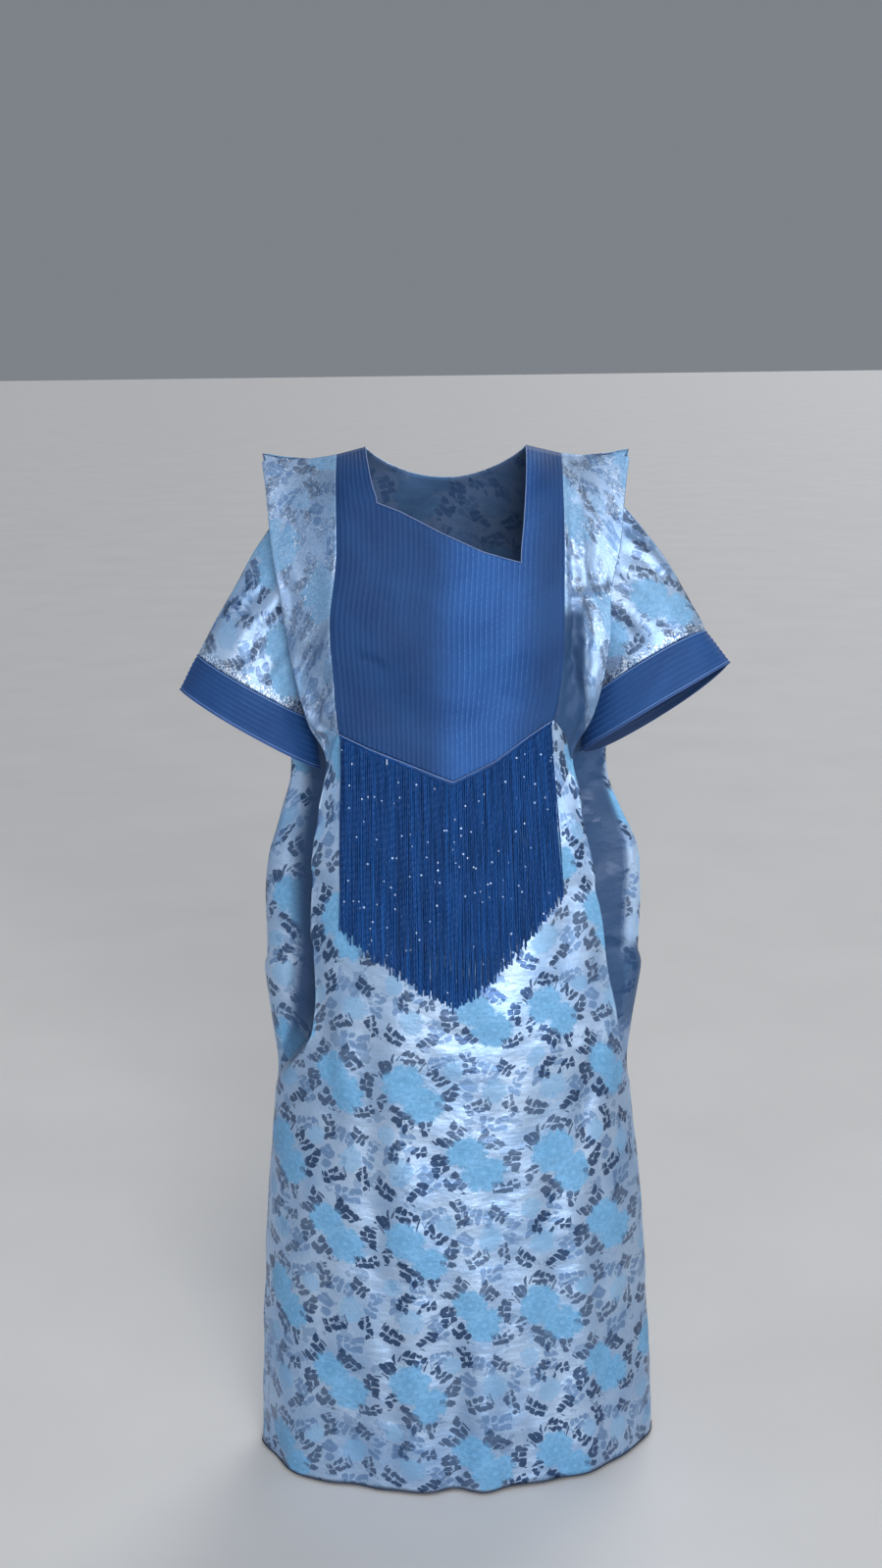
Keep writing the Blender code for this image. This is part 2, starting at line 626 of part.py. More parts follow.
def cuff(side):
    """The cuff, with pintucks round it parallel to its edge."""
    cut = SLEEVES[side]
    rows = 2 * CUFF_TUCKS
    length = np.linalg.norm(np.subtract(cut["edge_top"], cut["seam_top"]))
    first = 2 * SEAM / length
    grid = oriented(np.array([mouth(side, t) for t in np.linspace(first, 1.0, rows + 1)]), side)
    out = normals(grid, wrap=True)
    out[0] = in_plane(grid[0], out[0])
    raised = np.where(np.arange(rows + 1) % 2, TUCK_RISE, 0.0)[:, None, None]
    return wall("cuff_" + SIDE_NAMES[side], grid + out * raised, grid - out * TUCKED,
                "pintuck_blue", wrap=True)


def strip_section(x):
    """Four corners of the heading strip's section: front and back at the top, back and front below."""
    z = v_seam_z(x) - 2 * SEAM - STRIP_TOP
    y = min(centre_point(x, z)[1], centre_point(x, z - STRIP_HEIGHT)[1]) - STRIP_STAND
    low = z - STRIP_HEIGHT
    return [(x, y - STRIP_DEPTH, z), (x, y, z), (x, y, low), (x, y - STRIP_DEPTH, low)]


def strand_rings(x, root, index):
    """Two square rings of a strand, below its root and at its tip, clear of the cloth behind it."""
    side = -1 if x < 0 else 1
    outer = abs(x) / abs(V_X[side])
    y_top, z_top = root
    reach = STRAND_LENGTH - STRAND_RISE[side] * outer ** 1.6 + 0.004 * math.sin(index * 2.4)
    levels = np.linspace(0.01, reach, 12)
    clear = STRAND_WIDTH / 2 + STRAND_CLEAR
    slope = min((centre_point(x, z_top - drop)[1] - clear - y_top) / drop for drop in levels)
    for drop, width in ((0.012, STRAND_WIDTH), (reach, STRAND_WIDTH * 0.8)):
        half = width / 2
        at = x + STRAND_SPLAY[side] * outer ** 2 * drop / reach
        y, z = y_top + slope * drop, z_top - drop
        yield [(at - half, y + half, z), (at - half, y - half, z),
               (at + half, y - half, z), (at + half, y + half, z)]


def fringe():
    """Bead strands on a heading strip that lies over the V seam, fused at their roots."""
    edges = np.linspace(V_X[-1] + STRIP_INSET, V_X[1] - STRIP_INSET, STRANDS + 1)
    shape = bmesh.new()
    strip = [[shape.verts.new(corner) for corner in strip_section(float(x))] for x in edges]
    shape.faces.new(strip[0][::-1])
    shape.faces.new(strip[-1])
    for index, (a, b) in enumerate(zip(strip, strip[1:])):
        for k in (0, 1, 3):
            n = (k + 1) % 4
            shape.faces.new((a[k], a[n], b[n], b[k]))
        last = [a[2], a[3], b[3], b[2]]
        root = (a[2].co.y - STRIP_DEPTH / 2, a[2].co.z)
        for corners in strand_rings(float(edges[index] + edges[index + 1]) / 2, root, index):
            ring = [shape.verts.new(corner) for corner in corners]
            for k in range(4):
                n = (k + 1) % 4
                shape.faces.new((last[k], last[n], ring[n], ring[k]))
            last = ring
        shape.faces.new(last)
    mesh = bpy.data.meshes.new("fringe")
    shape.to_mesh(mesh)
    shape.free()
    return add_object("fringe", mesh, "bead_blue")


def facing_out(made):
    """Turn a closed mesh whose faces point inward."""
    shape = bmesh.new()
    shape.from_mesh(made.data)
    bmesh.ops.recalc_face_normals(shape, faces=shape.faces)
    if shape.calc_volume(signed=True) < 0:
        bmesh.ops.reverse_faces(shape, faces=shape.faces)
    shape.to_mesh(made.data)
    shape.free()


def main():
    for old in list(bpy.data.objects):
        bpy.data.objects.remove(old, do_unlink=True)
    pieces = [front_bib(), front_skirt(), back(), fringe()]
    for side in (-1, 1):
        pieces += [side_front(side), sleeve(side), cuff(side)]
    for piece in pieces:
        facing_out(piece)


main()
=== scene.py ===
import math

import bmesh
import bpy
import numpy as np
from mathutils import Matrix


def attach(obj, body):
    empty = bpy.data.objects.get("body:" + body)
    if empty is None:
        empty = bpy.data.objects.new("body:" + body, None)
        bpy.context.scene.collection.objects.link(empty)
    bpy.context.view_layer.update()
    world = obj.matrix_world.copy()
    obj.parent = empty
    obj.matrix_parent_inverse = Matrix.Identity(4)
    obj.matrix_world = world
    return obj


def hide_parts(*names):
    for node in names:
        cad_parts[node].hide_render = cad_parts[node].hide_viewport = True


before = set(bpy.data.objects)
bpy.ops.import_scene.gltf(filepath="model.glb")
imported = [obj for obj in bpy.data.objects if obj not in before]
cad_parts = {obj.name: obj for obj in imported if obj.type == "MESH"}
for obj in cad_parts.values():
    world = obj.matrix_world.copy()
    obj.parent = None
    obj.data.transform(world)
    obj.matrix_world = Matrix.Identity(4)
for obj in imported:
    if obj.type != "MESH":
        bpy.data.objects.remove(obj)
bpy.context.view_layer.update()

# The robe's form, in metres: +X is the wearer's left, the front faces -Y, the shoulder line is z = 0.
robe = {
    "cloth": 0.0016,           # thickness of the brocade
    "lining": 0.0015,          # thickness of the tucked cloth and the fringe's band
    "hem": -1.457,
    "waist": -0.400,
    "corner": -0.140,          # row that the neck's corners share
    "foldTop": -0.012,
    "armholeTop": -0.022,
    "vCorner": -0.36,
    "flangeTop": 0.24,         # half width at the shoulder line
    "edgeRadius": 0.0027,
    "seamGap": 0.00015,
    "strapInner": 0.106,
    "backNeckDrop": 0.045,
    "bibCorner": {-1: -0.105, 1: -0.140},
    "merge": (-0.78, -0.90),   # the side pleats run out between these
    "pleatShares": {"front": (0.78, 0.90), "back": (0.84, 0.96)},
    "reach": {"front": 0.032, "back": 0.045, "flange": 0.127},   # how soon each part turns down
    "flangeStart": 0.12,
    "rounding": {"front": 2.5, "back": 2.3},
    "bust": dict(x=0.075, z=-0.235, wide=0.048, tall=0.065, rise=0.012),
    "dent": dict(z=-0.183, tall=0.014, start=0.160, full=0.180, drop=0.006),
    "swing": 0.04,
    "hemWaves": ((9, 0.0035, 0.6), (14, 0.0020, 2.0)),   # waves round the hem, height and phase
}
sideNames = {-1: "right", 1: "left"}


def sizeTable(names, *rows):   # one array for each named column, lowest row first
    values = np.array(sorted(rows), float)
    return dict(zip(names.split(), values.T))


frontSizes = sizeTable("z middle edge",
                       (0.03, 0.100, 0.092), (-0.06, 0.105, 0.094), (-0.12, 0.112, 0.098),
                       (-0.235, 0.121, 0.100), (-0.32, 0.119, 0.098), (-0.40, 0.125, 0.084),
                       (-0.51, 0.133, 0.094), (-0.64, 0.142, 0.094), (-0.74, 0.149, 0.092),
                       (-0.90, 0.150, 0.092), (-1.457, 0.154, 0.092))
backSizes = sizeTable("z middle edge foldRadius",
                      (0.03, 0.080, 0.066, 0.003), (-0.06, 0.086, 0.070, 0.003),
                      (-0.15, 0.098, 0.080, 0.003), (-0.30, 0.092, 0.078, 0.004),
                      (-0.40, 0.092, 0.074, 0.008), (-0.50, 0.106, 0.072, 0.020),
                      (-0.60, 0.119, 0.070, 0.030), (-0.72, 0.125, 0.068, 0.032),
                      (-0.90, 0.126, 0.066, 0.032), (-1.457, 0.130, 0.066, 0.032))
edgeSizes = {   # half widths: the front's fold, the side seam or armhole, and the back's fold
    -1: sizeTable("z front seam back",
                  (0.01, 0.246, 0.178, 0.243), (-0.046, 0.237, 0.177, 0.234),
                  (-0.12, 0.229, 0.175, 0.228), (-0.194, 0.217, 0.172, 0.224),
                  (-0.284, 0.202, 0.166, 0.221), (-0.349, 0.186, 0.147, 0.221),
                  (-0.40, 0.164, 0.136, 0.222), (-0.46, 0.176, 0.135, 0.226),
                  (-0.51, 0.185, 0.136, 0.240), (-0.56, 0.188, 0.138, 0.257),
                  (-0.64, 0.189, 0.142, 0.264), (-0.715, 0.188, 0.150, 0.263),
                  (-0.725, 0.188, 0.152, 0.267), (-0.82, 0.203, 0.185, 0.262),
                  (-0.93, 0.225, 0.200, 0.254), (-1.457, 0.240, 0.210, 0.290)),
    1: sizeTable("z front seam back",
                 (0.01, 0.246, 0.178, 0.243), (-0.046, 0.236, 0.177, 0.234),
                 (-0.12, 0.227, 0.175, 0.229), (-0.174, 0.215, 0.172, 0.226),
                 (-0.250, 0.211, 0.167, 0.224), (-0.342, 0.190, 0.148, 0.223),
                 (-0.40, 0.164, 0.136, 0.223), (-0.46, 0.175, 0.135, 0.226),
                 (-0.515, 0.185, 0.136, 0.249), (-0.56, 0.193, 0.138, 0.267),
                 (-0.612, 0.202, 0.142, 0.271), (-0.715, 0.217, 0.156, 0.270),
                 (-0.725, 0.219, 0.158, 0.274), (-0.82, 0.234, 0.195, 0.264),
                 (-0.93, 0.240, 0.210, 0.256), (-1.457, 0.250, 0.220, 0.290)),
}
skirtSizes = sizeTable("z halfWidth front back",
                       (-0.70, 0.251, 0.147, 0.124), (-0.886, 0.2535, 0.150, 0.126),
                       (-1.04, 0.268, 0.151, 0.127), (-1.20, 0.278, 0.152, 0.128),
                       (-1.36, 0.2875, 0.153, 0.129), (-1.457, 0.291, 0.154, 0.130))
bibSides = {
    -1: sizeTable("z x", (0.0, 0.144), (-0.118, 0.142), (-0.218, 0.153), (-0.282, 0.150), (-0.36, 0.145)),
    1: sizeTable("z x", (0.0, 0.152), (-0.159, 0.151), (-0.286, 0.147), (-0.347, 0.136)),
}
neckline = sizeTable("x z", (-0.090, -0.059), (-0.058, -0.071), (-0.006, -0.098), (0.046, -0.122),
                     (0.0945, -0.136))
vSeam = sizeTable("x z", (-0.145, -0.358), (-0.108, -0.375), (-0.063, -0.392), (0.004, -0.419),
                  (0.059, -0.393), (0.109, -0.358), (0.136, -0.341))
shoulder = sizeTable("x z", (0.0, 0.030), (0.080, 0.013), (0.106, 0.006), (0.150, -0.004),
                     (0.180, -0.008), (0.215, -0.005), (0.243, 0.0))
armhole = sizeTable("z depth",
                    (-0.022, 0.0045), (-0.037, 0.008), (-0.061, 0.016), (-0.096, 0.027),
                    (-0.140, 0.037), (-0.183, 0.043), (-0.227, 0.041), (-0.270, 0.030), (-0.314, 0.0045))


def curved(sizes, name, at, key="z"):   # a column on a smooth curve that never overshoots its rows
    x, y = sizes[key], sizes[name]
    at = np.clip(np.asarray(at, float), x[0], x[-1])
    step, slope = np.diff(x), np.diff(y) / np.diff(x)
    tangent = np.concatenate(([slope[0]], 0.5 * (slope[1:] + slope[:-1]), [slope[-1]]))
    tangent[np.concatenate(([False], slope[1:] * slope[:-1] <= 0, [False]))] = 0.0
    i = np.clip(np.searchsorted(x, at) - 1, 0, len(step) - 1)
    t = (at - x[i]) / step[i]
    return (y[i] * (1 + 2 * t) * (1 - t) ** 2 + tangent[i] * step[i] * t * (1 - t) ** 2
            + y[i + 1] * t * t * (3 - 2 * t) - tangent[i + 1] * step[i] * t * t * (1 - t))


def straight(sizes, name, at, key="x"):
    return np.interp(at, sizes[key], sizes[name])


def ease(start, end, at):
    t = np.clip((np.asarray(at, float) - start) / (end - start), 0.0, 1.0)
    return t * t * (3 - 2 * t)


def mix(a, b, t):
    return a + (b - a) * t


def shoulderHeight(x):
    return straight(shoulder, "z", np.abs(x))


def edgeOf(x, z, name):   # the half width on whichever side x lies
    return np.where(np.asarray(x) < 0, curved(edgeSizes[-1], name, z), curved(edgeSizes[1], name, z))


def onset(part, x, z, edge):   # the strap turns down at once, and the stiff flange slopes like a tent
    start = robe["flangeStart"]
    reach = mix(robe["reach"][part], robe["reach"]["flange"],
                ease(0.0, 1.0, (np.abs(x) - start) / (edge - start)))
    return 1.0 - np.exp(-np.maximum(shoulderHeight(x) - z, 0.0) / reach)


def frontDepth(x, z):   # how far the front cloth lies ahead of the shoulder line
    edge, away = edgeOf(x, z, "front"), np.abs(x)
    middle, fold = curved(frontSizes, "middle", z), curved(frontSizes, "edge", z)
    depth = middle - (middle - fold) * np.minimum(away / edge, 1.0) ** robe["rounding"]["front"]
    bust, dent = robe["bust"], robe["dent"]
    depth = depth + bust["rise"] * np.exp(-((away - bust["x"]) / bust["wide"]) ** 2
                                          - ((z - bust["z"]) / bust["tall"]) ** 2)
    depth = depth - dent["drop"] * ease(dent["start"], dent["full"], x) * np.exp(
        -((z - dent["z"]) / dent["tall"]) ** 2)
    return depth * onset("front", x, z, edge) + robe["seamGap"]


def backDepth(x, z):
    edge, away = edgeOf(x, z, "back"), np.abs(x)
    middle, fold = curved(backSizes, "middle", z), curved(backSizes, "edge", z)
    depth = middle - (middle - fold) * np.minimum(away / edge, 1.0) ** robe["rounding"]["back"]
    return depth * onset("back", x, z, edge) + robe["seamGap"]


def seamDepth(z):   # half depth of the armhole, closed below it
    below = z < armhole["z"][0] - 0.002
    return np.where(below, robe["seamGap"], curved(armhole, "depth", z))


def ovalPoint(z, part, share):   # share runs 0 at the middle to 1 at the side seam
    angle = share * math.pi / 2
    return (curved(skirtSizes, "halfWidth", z) * np.sin(angle),
            curved(skirtSizes, part, z) * np.cos(angle) + robe["seamGap"])


def ovalShare(z, x):
    return np.arcsin(np.clip(np.abs(x) / curved(skirtSizes, "halfWidth", z), 0, 1)) * 2 / math.pi


def sidePanel(side, part, s, z):
    # s runs 0 to 1 over the sheet, 1 to 2 round the folded edge and 2 to 3 back in to the seam
    depthOf = frontDepth if part == "front" else backDepth
    radius = robe["edgeRadius"] if part == "front" else curved(backSizes, "foldRadius", z)
    edge = curved(edgeSizes[side], part, z)
    seamX, seamY = curved(edgeSizes[side], "seam", z), seamDepth(z)
    inner = curved(bibSides[side], "x", z) if part == "front" else np.zeros_like(z)
    sheetX = mix(inner, edge - radius, np.clip(s, 0, 1))
    sheetY = depthOf(side * sheetX, z)
    centreX, centreY = edge - radius, depthOf(side * (edge - radius), z) - radius
    toX, toY = seamX - centreX, seamY - centreY
    end = np.arctan2(toY, toX) + np.arccos(np.minimum(radius / np.hypot(toX, toY), 1.0))
    angle = mix(math.pi / 2, end, np.clip(s - 1, 0, 1))
    arcX, arcY = centreX + radius * np.cos(angle), centreY + radius * np.sin(angle)
    run = np.clip(s - 2, 0, 1)
    x = np.where(s <= 1, sheetX, np.where(s <= 2, arcX, mix(arcX, seamX, run)))
    y = np.where(s <= 1, sheetY, np.where(s <= 2, arcY, mix(arcY, seamY, run)))
    start, (low, high) = ovalShare(z, inner), robe["pleatShares"][part]
    share = np.where(s <= 1, mix(start, low, s),
                     np.where(s <= 2, mix(low, high, s - 1), mix(high, 1.0, s - 2)))
    plainX, plainY = ovalPoint(z, part, share)
    merged = ease(*robe["merge"], z)
    return mix(x, plainX, merged), mix(y, plainY, merged)


def frontPoint(x, z):   # a point of the front between the bib's side seams, or below them
    plainX, plainY = ovalPoint(z, "front", ovalShare(z, x))
    merged = ease(*robe["merge"], z)
    return np.stack((mix(x, np.sign(x) * plainX, merged),
                     -mix(frontDepth(x, z), plainY, merged), z), -1)


def hang(points):   # the lower skirt swings a little round the wearer, and its hem waves
    x, y, z = points[..., 0], points[..., 1], points[..., 2]
    low = ease(robe["merge"][1], robe["hem"], z)
    angle = np.arctan2(y, x)
    wave = sum(height * np.sin(count * angle + phase) for count, height, phase in robe["hemWaves"])
    stretch = 1 + low * wave / np.maximum(np.hypot(x, y), 1e-6)
    return np.stack((x * stretch, y * stretch + robe["swing"] * low * x, z), -1)


vEnds = {side: float(straight(vSeam, "z", side * curved(bibSides[side], "x", robe["vCorner"])))
         for side in (-1, 1)}
vSides = {side: side * float(curved(bibSides[side], "x", robe["vCorner"])) for side in (-1, 1)}


def flangeHeights(side, s):   # heights of a flange column at the shoulder, the neck's row and the waist
    share = np.minimum(s, 1.0)
    x = mix(float(curved(bibSides[side], "x", 0.0)), robe["flangeTop"], share)
    top = np.where(s <= 1, shoulderHeight(x),
                   np.where(s <= 2, mix(0.0, robe["foldTop"], np.clip((s - 1) * 2, 0, 1)),
                            mix(robe["foldTop"], robe["armholeTop"], np.clip(s - 2, 0, 1))))
    return (top, mix(robe["bibCorner"][side], robe["corner"], share),
            mix(vEnds[side], robe["waist"], share))


def steps(*runs):   # joined runs of even steps, as (start, end, count)
    return np.concatenate([np.linspace(start, end, count + 1)[1 if i else 0:]
                           for i, (start, end, count) in enumerate(runs)])


def lengths(points, axis):   # distance travelled along an axis of a grid
    gaps = np.linalg.norm(np.diff(points, axis=axis), axis=-1)
    return np.cumsum(np.insert(gaps, 0, 0.0, axis=axis), axis=axis)


def cutPlan(points, middle):   # each point's place on the flat cut, across from a column and up
    across, down = lengths(points, 1), lengths(points, 0)
    up = down[-1:] - down + points[-1:, middle:middle + 1, 2]
    return np.stack((across - across[:, middle:middle + 1], up), -1)


def gridNormals(points, wrap=False):
    if wrap:
        body = points[:, :-1]
        along = np.roll(body, -1, 1) - np.roll(body, 1, 1)
        along = np.concatenate((along, along[:, :1]), 1)
    else:
        along = np.gradient(points, axis=1)
    out = np.cross(np.gradient(points, axis=0), along)
    return out / np.maximum(np.linalg.norm(out, axis=2, keepdims=True), 1e-12)


def frontView(points):   # each point's place as it's seen from the front
    return np.stack((points[..., 0], points[..., 2]), -1)


def alongLine(plan, u0, v0, u1, v1):   # a line's length, and each point's distances along and off it
    run = np.array([u1 - u0, v1 - v0])
    length = np.linalg.norm(run)
    run /= length
    du, dv = plan[..., 0] - u0, plan[..., 1] - v0
    return length, du * run[0] + dv * run[1], dv * run[0] - du * run[1]


crease = {"wander": 0.18, "rate": 1.3, "fadeOut": 0.25, "fadeIn": 0.3, "ridge": 0.55, "ridgeOff": 1.7}
ledge = {"wander": 0.8, "rate": 5.0, "fadeOut": 0.08, "fadeIn": 0.15, "reach": 0.028}


def tapered(form, length, along):   # fades in from before a line's start, and out beyond its end
    before, full = form["fadeOut"], form["fadeIn"]
    return (ease(-before * length, full * length, along)
            * ease((1 + before) * length, (1 - full) * length, along))


def creaseRelief(plan, creases):
    # soft troughs with a small ridge beside them: start and end on the cut, width and depth
    relief = np.zeros(plan.shape[:2])
    for *line, wide, deep in creases:
        length, along, off = alongLine(plan, *line)
        off = off + crease["wander"] * wide * np.sin(along / wide * crease["rate"])
        ridge = crease["ridge"] * np.exp(-((off - crease["ridgeOff"] * wide) / wide) ** 2)
        relief += deep * tapered(crease, length, along) * (ridge - np.exp(-(off / wide) ** 2))
    return relief


def ledgeRelief(plan, ledges):
    # folded edges, raised on one side: start and end, how sharp and how high
    relief = np.zeros(plan.shape[:2])
    for *line, wide, high in ledges:
        length, along, off = alongLine(plan, *line)
        off = off + ledge["wander"] * wide * np.sin(along / length * ledge["rate"])
        relief += (high * tapered(ledge, length, along) * np.tanh(off / wide)
                   * np.exp(-(off / ledge["reach"]) ** 2))
    return relief


def softWaves(plan, height, seed):   # the cloth's own slight unevenness
    u, v = plan[..., 0], plan[..., 1]
    return height * (np.sin(41 * u + 6 * v + seed) * np.sin(9 * v - 5 * u + 2 * seed)
                     + 0.6 * np.sin(83 * u - 17 * v + 3 * seed) * np.sin(23 * v + seed)
                     + 0.35 * np.sin(61 * v + 31 * u + seed))


def layCloth(name, points, plan, wrap=False, keep=None, capped=False, paintedShading=None):
    # a grid laid on the points; its UV map holds its place on the flat cut, and its fold attribute the
    # painted shade deep in its folds, with a painted highlight below 0
    rows, columns = points.shape[:2]
    shape = bmesh.new()
    bmesh.ops.create_grid(shape, x_segments=columns - 1, y_segments=rows - 1, size=1.0)
    # fold: painted shade deep in the cloth's folds, and a painted highlight where it is below 0
    uvs, depth = shape.loops.layers.uv.new("cut"), shape.verts.layers.float.new("fold")
    places = {}
    for vert in shape.verts:
        places[vert] = (round((1 - vert.co.y) / 2 * (rows - 1)),
                        round((vert.co.x + 1) / 2 * (columns - 1)))
    for face in shape.faces:
        for loop in face.loops:
            loop[uvs].uv = plan[places[loop.vert]]
    for vert, place in places.items():
        vert.co = points[place]
        vert[depth] = 0.0 if paintedShading is None else paintedShading[place]
    if keep is not None:
        gone = [face for face in shape.faces if not all(keep[places[v]] for v in face.verts)]
        bmesh.ops.delete(shape, geom=gone, context="FACES")
    if wrap:
        bmesh.ops.remove_doubles(shape, verts=shape.verts, dist=1e-6)
    if capped:
        bmesh.ops.holes_fill(shape, edges=[edge for edge in shape.edges if edge.is_boundary],
                             sides=columns)
        bmesh.ops.recalc_face_normals(shape, faces=shape.faces)
    return finishMesh(name, shape)


def finishMesh(name, shape):
    mesh = bpy.data.meshes.new(name)
    shape.to_mesh(mesh)
    shape.free()
    mesh.shade_smooth()
    made = bpy.data.objects.new(name, mesh)
    bpy.context.scene.collection.objects.link(made)
    return made


def thicken(piece, thickness, outside, inside):   # a cloth wall whose reverse has its own finish
    piece.data.materials.append(outside)
    piece.data.materials.append(inside)
    wall = piece.modifiers.new("wall", "SOLIDIFY")
    wall.thickness = thickness
    wall.offset = -1.0
    wall.material_offset = 1
    wall.use_even_offset = False
    return piece


def dress(piece, slot, *nodes):
    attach(piece, "root")
    if nodes:
        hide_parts(*nodes)
    return piece


def cutSize(plan):
    u, v = plan[..., 0], plan[..., 1]
    corners = (plan[:-1, :-1], plan[1:, :-1], plan[1:, 1:], plan[:-1, 1:])
    area = sum(a[..., 0] * b[..., 1] - b[..., 0] * a[..., 1]
               for a, b in zip(corners, corners[1:] + corners[:1]))
    return (float(np.ptp(u)), float(np.ptp(v))), float(np.abs(area / 2).sum())


class Wire:   # a shader socket that takes part in arithmetic
    def __init__(self, finish, socket):
        self.finish, self.socket = finish, socket

    def maths(self, operation, *values):
        return self.finish.node("ShaderNodeMath", {"operation": operation}, dict(enumerate(values)))

    def __add__(self, other): return self.maths("ADD", self, other)
    def __radd__(self, other): return self.maths("ADD", other, self)
    def __sub__(self, other): return self.maths("SUBTRACT", self, other)
    def __rsub__(self, other): return self.maths("SUBTRACT", other, self)
    def __mul__(self, other): return self.maths("MULTIPLY", self, other)
    def __rmul__(self, other): return self.maths("MULTIPLY", other, self)
    def __truediv__(self, other): return self.maths("DIVIDE", self, other)
    def __rtruediv__(self, other): return self.maths("DIVIDE", other, self)
    def __pow__(self, other): return self.maths("POWER", self, other)
    def __abs__(self): return self.maths("ABSOLUTE", self)
    def fract(self): return self.maths("FRACT", self)
    def floor(self): return self.maths("FLOOR", self)
    def sin(self): return self.maths("SINE", self)
    def cos(self): return self.maths("COSINE", self)
    def root(self): return self.maths("SQRT", self)
    def most(self, other): return self.maths("MAXIMUM", self, other)

    def smooth(self, low, high):
        return self.finish.node("ShaderNodeMapRange", {"interpolation_type": "SMOOTHSTEP"},
                                {0: self, 1: low, 2: high, 3: 0.0, 4: 1.0})


class Finish:   # a material built from expressions
    def __init__(self, name):
        self.material = bpy.data.materials.new(name)
        self.material.use_nodes = True
        self.tree = self.material.node_tree
        self.shader = self.tree.nodes["Principled BSDF"]

    def node(self, kind, settings=None, sockets=None, out=0):
        made = self.tree.nodes.new(kind)
        for key, value in (settings or {}).items():
            setattr(made, key, value)
        for key, value in (sockets or {}).items():
            self.plug(made.inputs[key], value)
        return Wire(self, made.outputs[out])

    def plug(self, socket, value):
        if isinstance(value, Wire):
            self.tree.links.new(value.socket, socket)
        elif socket.type == "RGBA" and not isinstance(value, (int, float)):
            socket.default_value = (*value[:3], 1.0)
        else:
            socket.default_value = value

    def split(self, vector):
        node = self.tree.nodes.new("ShaderNodeSeparateXYZ")
        self.plug(node.inputs[0], vector)
        return [Wire(self, node.outputs[i]) for i in range(3)]

    def join(self, x, y, z=0.0):
        return self.node("ShaderNodeCombineXYZ", None, {0: x, 1: y, 2: z})

    def blend(self, factor, first, second):
        return self.node("ShaderNodeMix", {"data_type": "RGBA"},
                         {0: factor, 6: first, 7: second}, out=2)

    def tint(self, colour, amount):   # a colour made lighter or darker, or a place scaled
        return self.node("ShaderNodeVectorMath", {"operation": "SCALE"}, {0: colour, "Scale": amount})

    def noise(self, where, scale, detail=2.0, rough=0.5):
        return self.node("ShaderNodeTexNoise", None, {"Vector": where, "Scale": scale, "Detail": detail,
                                                      "Roughness": rough})

    def bump(self, height, distance, strength=1.0, over=None):   # over: the finer bump beneath
        under = {"Normal": over} if over else {}
        return self.node("ShaderNodeBump", None,
                         {"Strength": strength, "Distance": distance, "Height": height, **under})

    def cut(self):   # place on the flat cloth, in metres
        return self.node("ShaderNodeUVMap", {"uv_map": "cut"})

    def set(self, **values):
        for key, value in values.items():
            self.plug(self.shader.inputs[key.replace("_", " ")], value)
        return self.material


brocade = {   # satin jacquard: repeat of the pattern, its colours and one leaf of a sprig
    "wide": 0.205, "tall": 0.226,
    "ground": (0.455, 0.590, 0.775), "shade": (0.245, 0.408, 0.665), "blossom": (0.090, 0.288, 0.510),
    "petalLine": (0.220, 0.460, 0.760), "leaf": (0.017, 0.055, 0.155), "ghost": (0.120, 0.240, 0.460),
    # deep: painted shade laid over the cloth deep in its folds
    "reverse": (0.045, 0.110, 0.270), "deep": (0.014, 0.052, 0.140), "glint": (0.850, 0.920, 1.000),
    "leafLength": 0.0074, "leafWidth": 0.0046, "leafGap": 0.0092, "leafOff": 0.0054, "twig": 0.022,
    "sprigHalf": 0.0145, "stem": 0.0008, "scatter": (0.0042, 0.0040),   # how far leaves stray from pairs
    "thread": (1500.0, 90.0), "twill": 5200.0,   # noise cells of thread to a metre, and twill lines
    "crumple": (22.0, 44.0), "crumpleHeight": 0.0050,
    "roughness": 0.50, "metallic": 0.80, "sheen": 0.08, "anisotropy": 0.25, "specular": 0.35,
    "specks": 560.0, "slack": 0.075,   # dots of bright thread to a metre; how far the pattern strays
}
blossoms = (   # centre, turn and radius of each blossom in the repeat, the small pale ones last
    (-0.066, 0.068, 0.3, 0.0330), (0.026, -0.032, 0.7, 0.0300), (0.058, 0.064, 0.5, 0.0200),
    (-0.002, 0.090, 0.1, 0.0150),
)
partners = (   # the blossoms that overlap them
    (-0.036, 0.037, 1.2, 0.0290), (0.051, -0.065, 0.2, 0.0320), (-0.060, -0.062, 0.9, 0.0210),
    (-0.088, -0.010, 0.4, 0.0160),
)
paleFrom = 2
sprigs = (     # centre, direction and size of each dark sprig round the blossoms and between them
    (-0.092, 0.094, 0.6, 1.05), (-0.056, 0.106, -0.5, 0.95), (-0.094, 0.046, 1.9, 0.95),
    (-0.064, 0.018, -0.7, 1.10), (-0.020, 0.004, 0.2, 0.90), (-0.004, 0.052, 1.3, 1.00),
    (-0.022, 0.078, 2.3, 0.80), (0.004, -0.008, 0.9, 1.05), (0.056, -0.014, 2.4, 1.00),
    (-0.006, -0.054, 1.7, 1.05), (0.018, -0.086, -0.8, 1.00), (0.084, -0.048, 1.4, 0.95),
    (0.080, -0.090, 0.2, 0.85), (0.036, 0.040, 0.4, 0.90), (0.082, 0.038, 2.0, 0.80),
    (-0.034, -0.092, 0.9, 0.85), (-0.086, -0.086, 2.6, 0.90), (-0.040, -0.036, 0.3, 0.75),
    (0.020, 0.106, 1.8, 0.85), (-0.070, -0.030, 1.1, 0.80), (0.070, 0.096, -0.6, 0.75),
)
ghosts = (     # the faint ones, woven in the shade of the ground
    (0.022, 0.072, 1.1, 1.10), (-0.018, 0.104, 0.2, 0.90), (-0.052, -0.014, 1.5, 1.05),
    (-0.086, -0.040, 0.5, 1.00), (0.060, 0.014, 0.0, 1.00), (-0.020, -0.072, 2.2, 0.95),
    (0.090, 0.074, 1.2, 0.90), (0.046, 0.096, 2.7, 1.00),
)


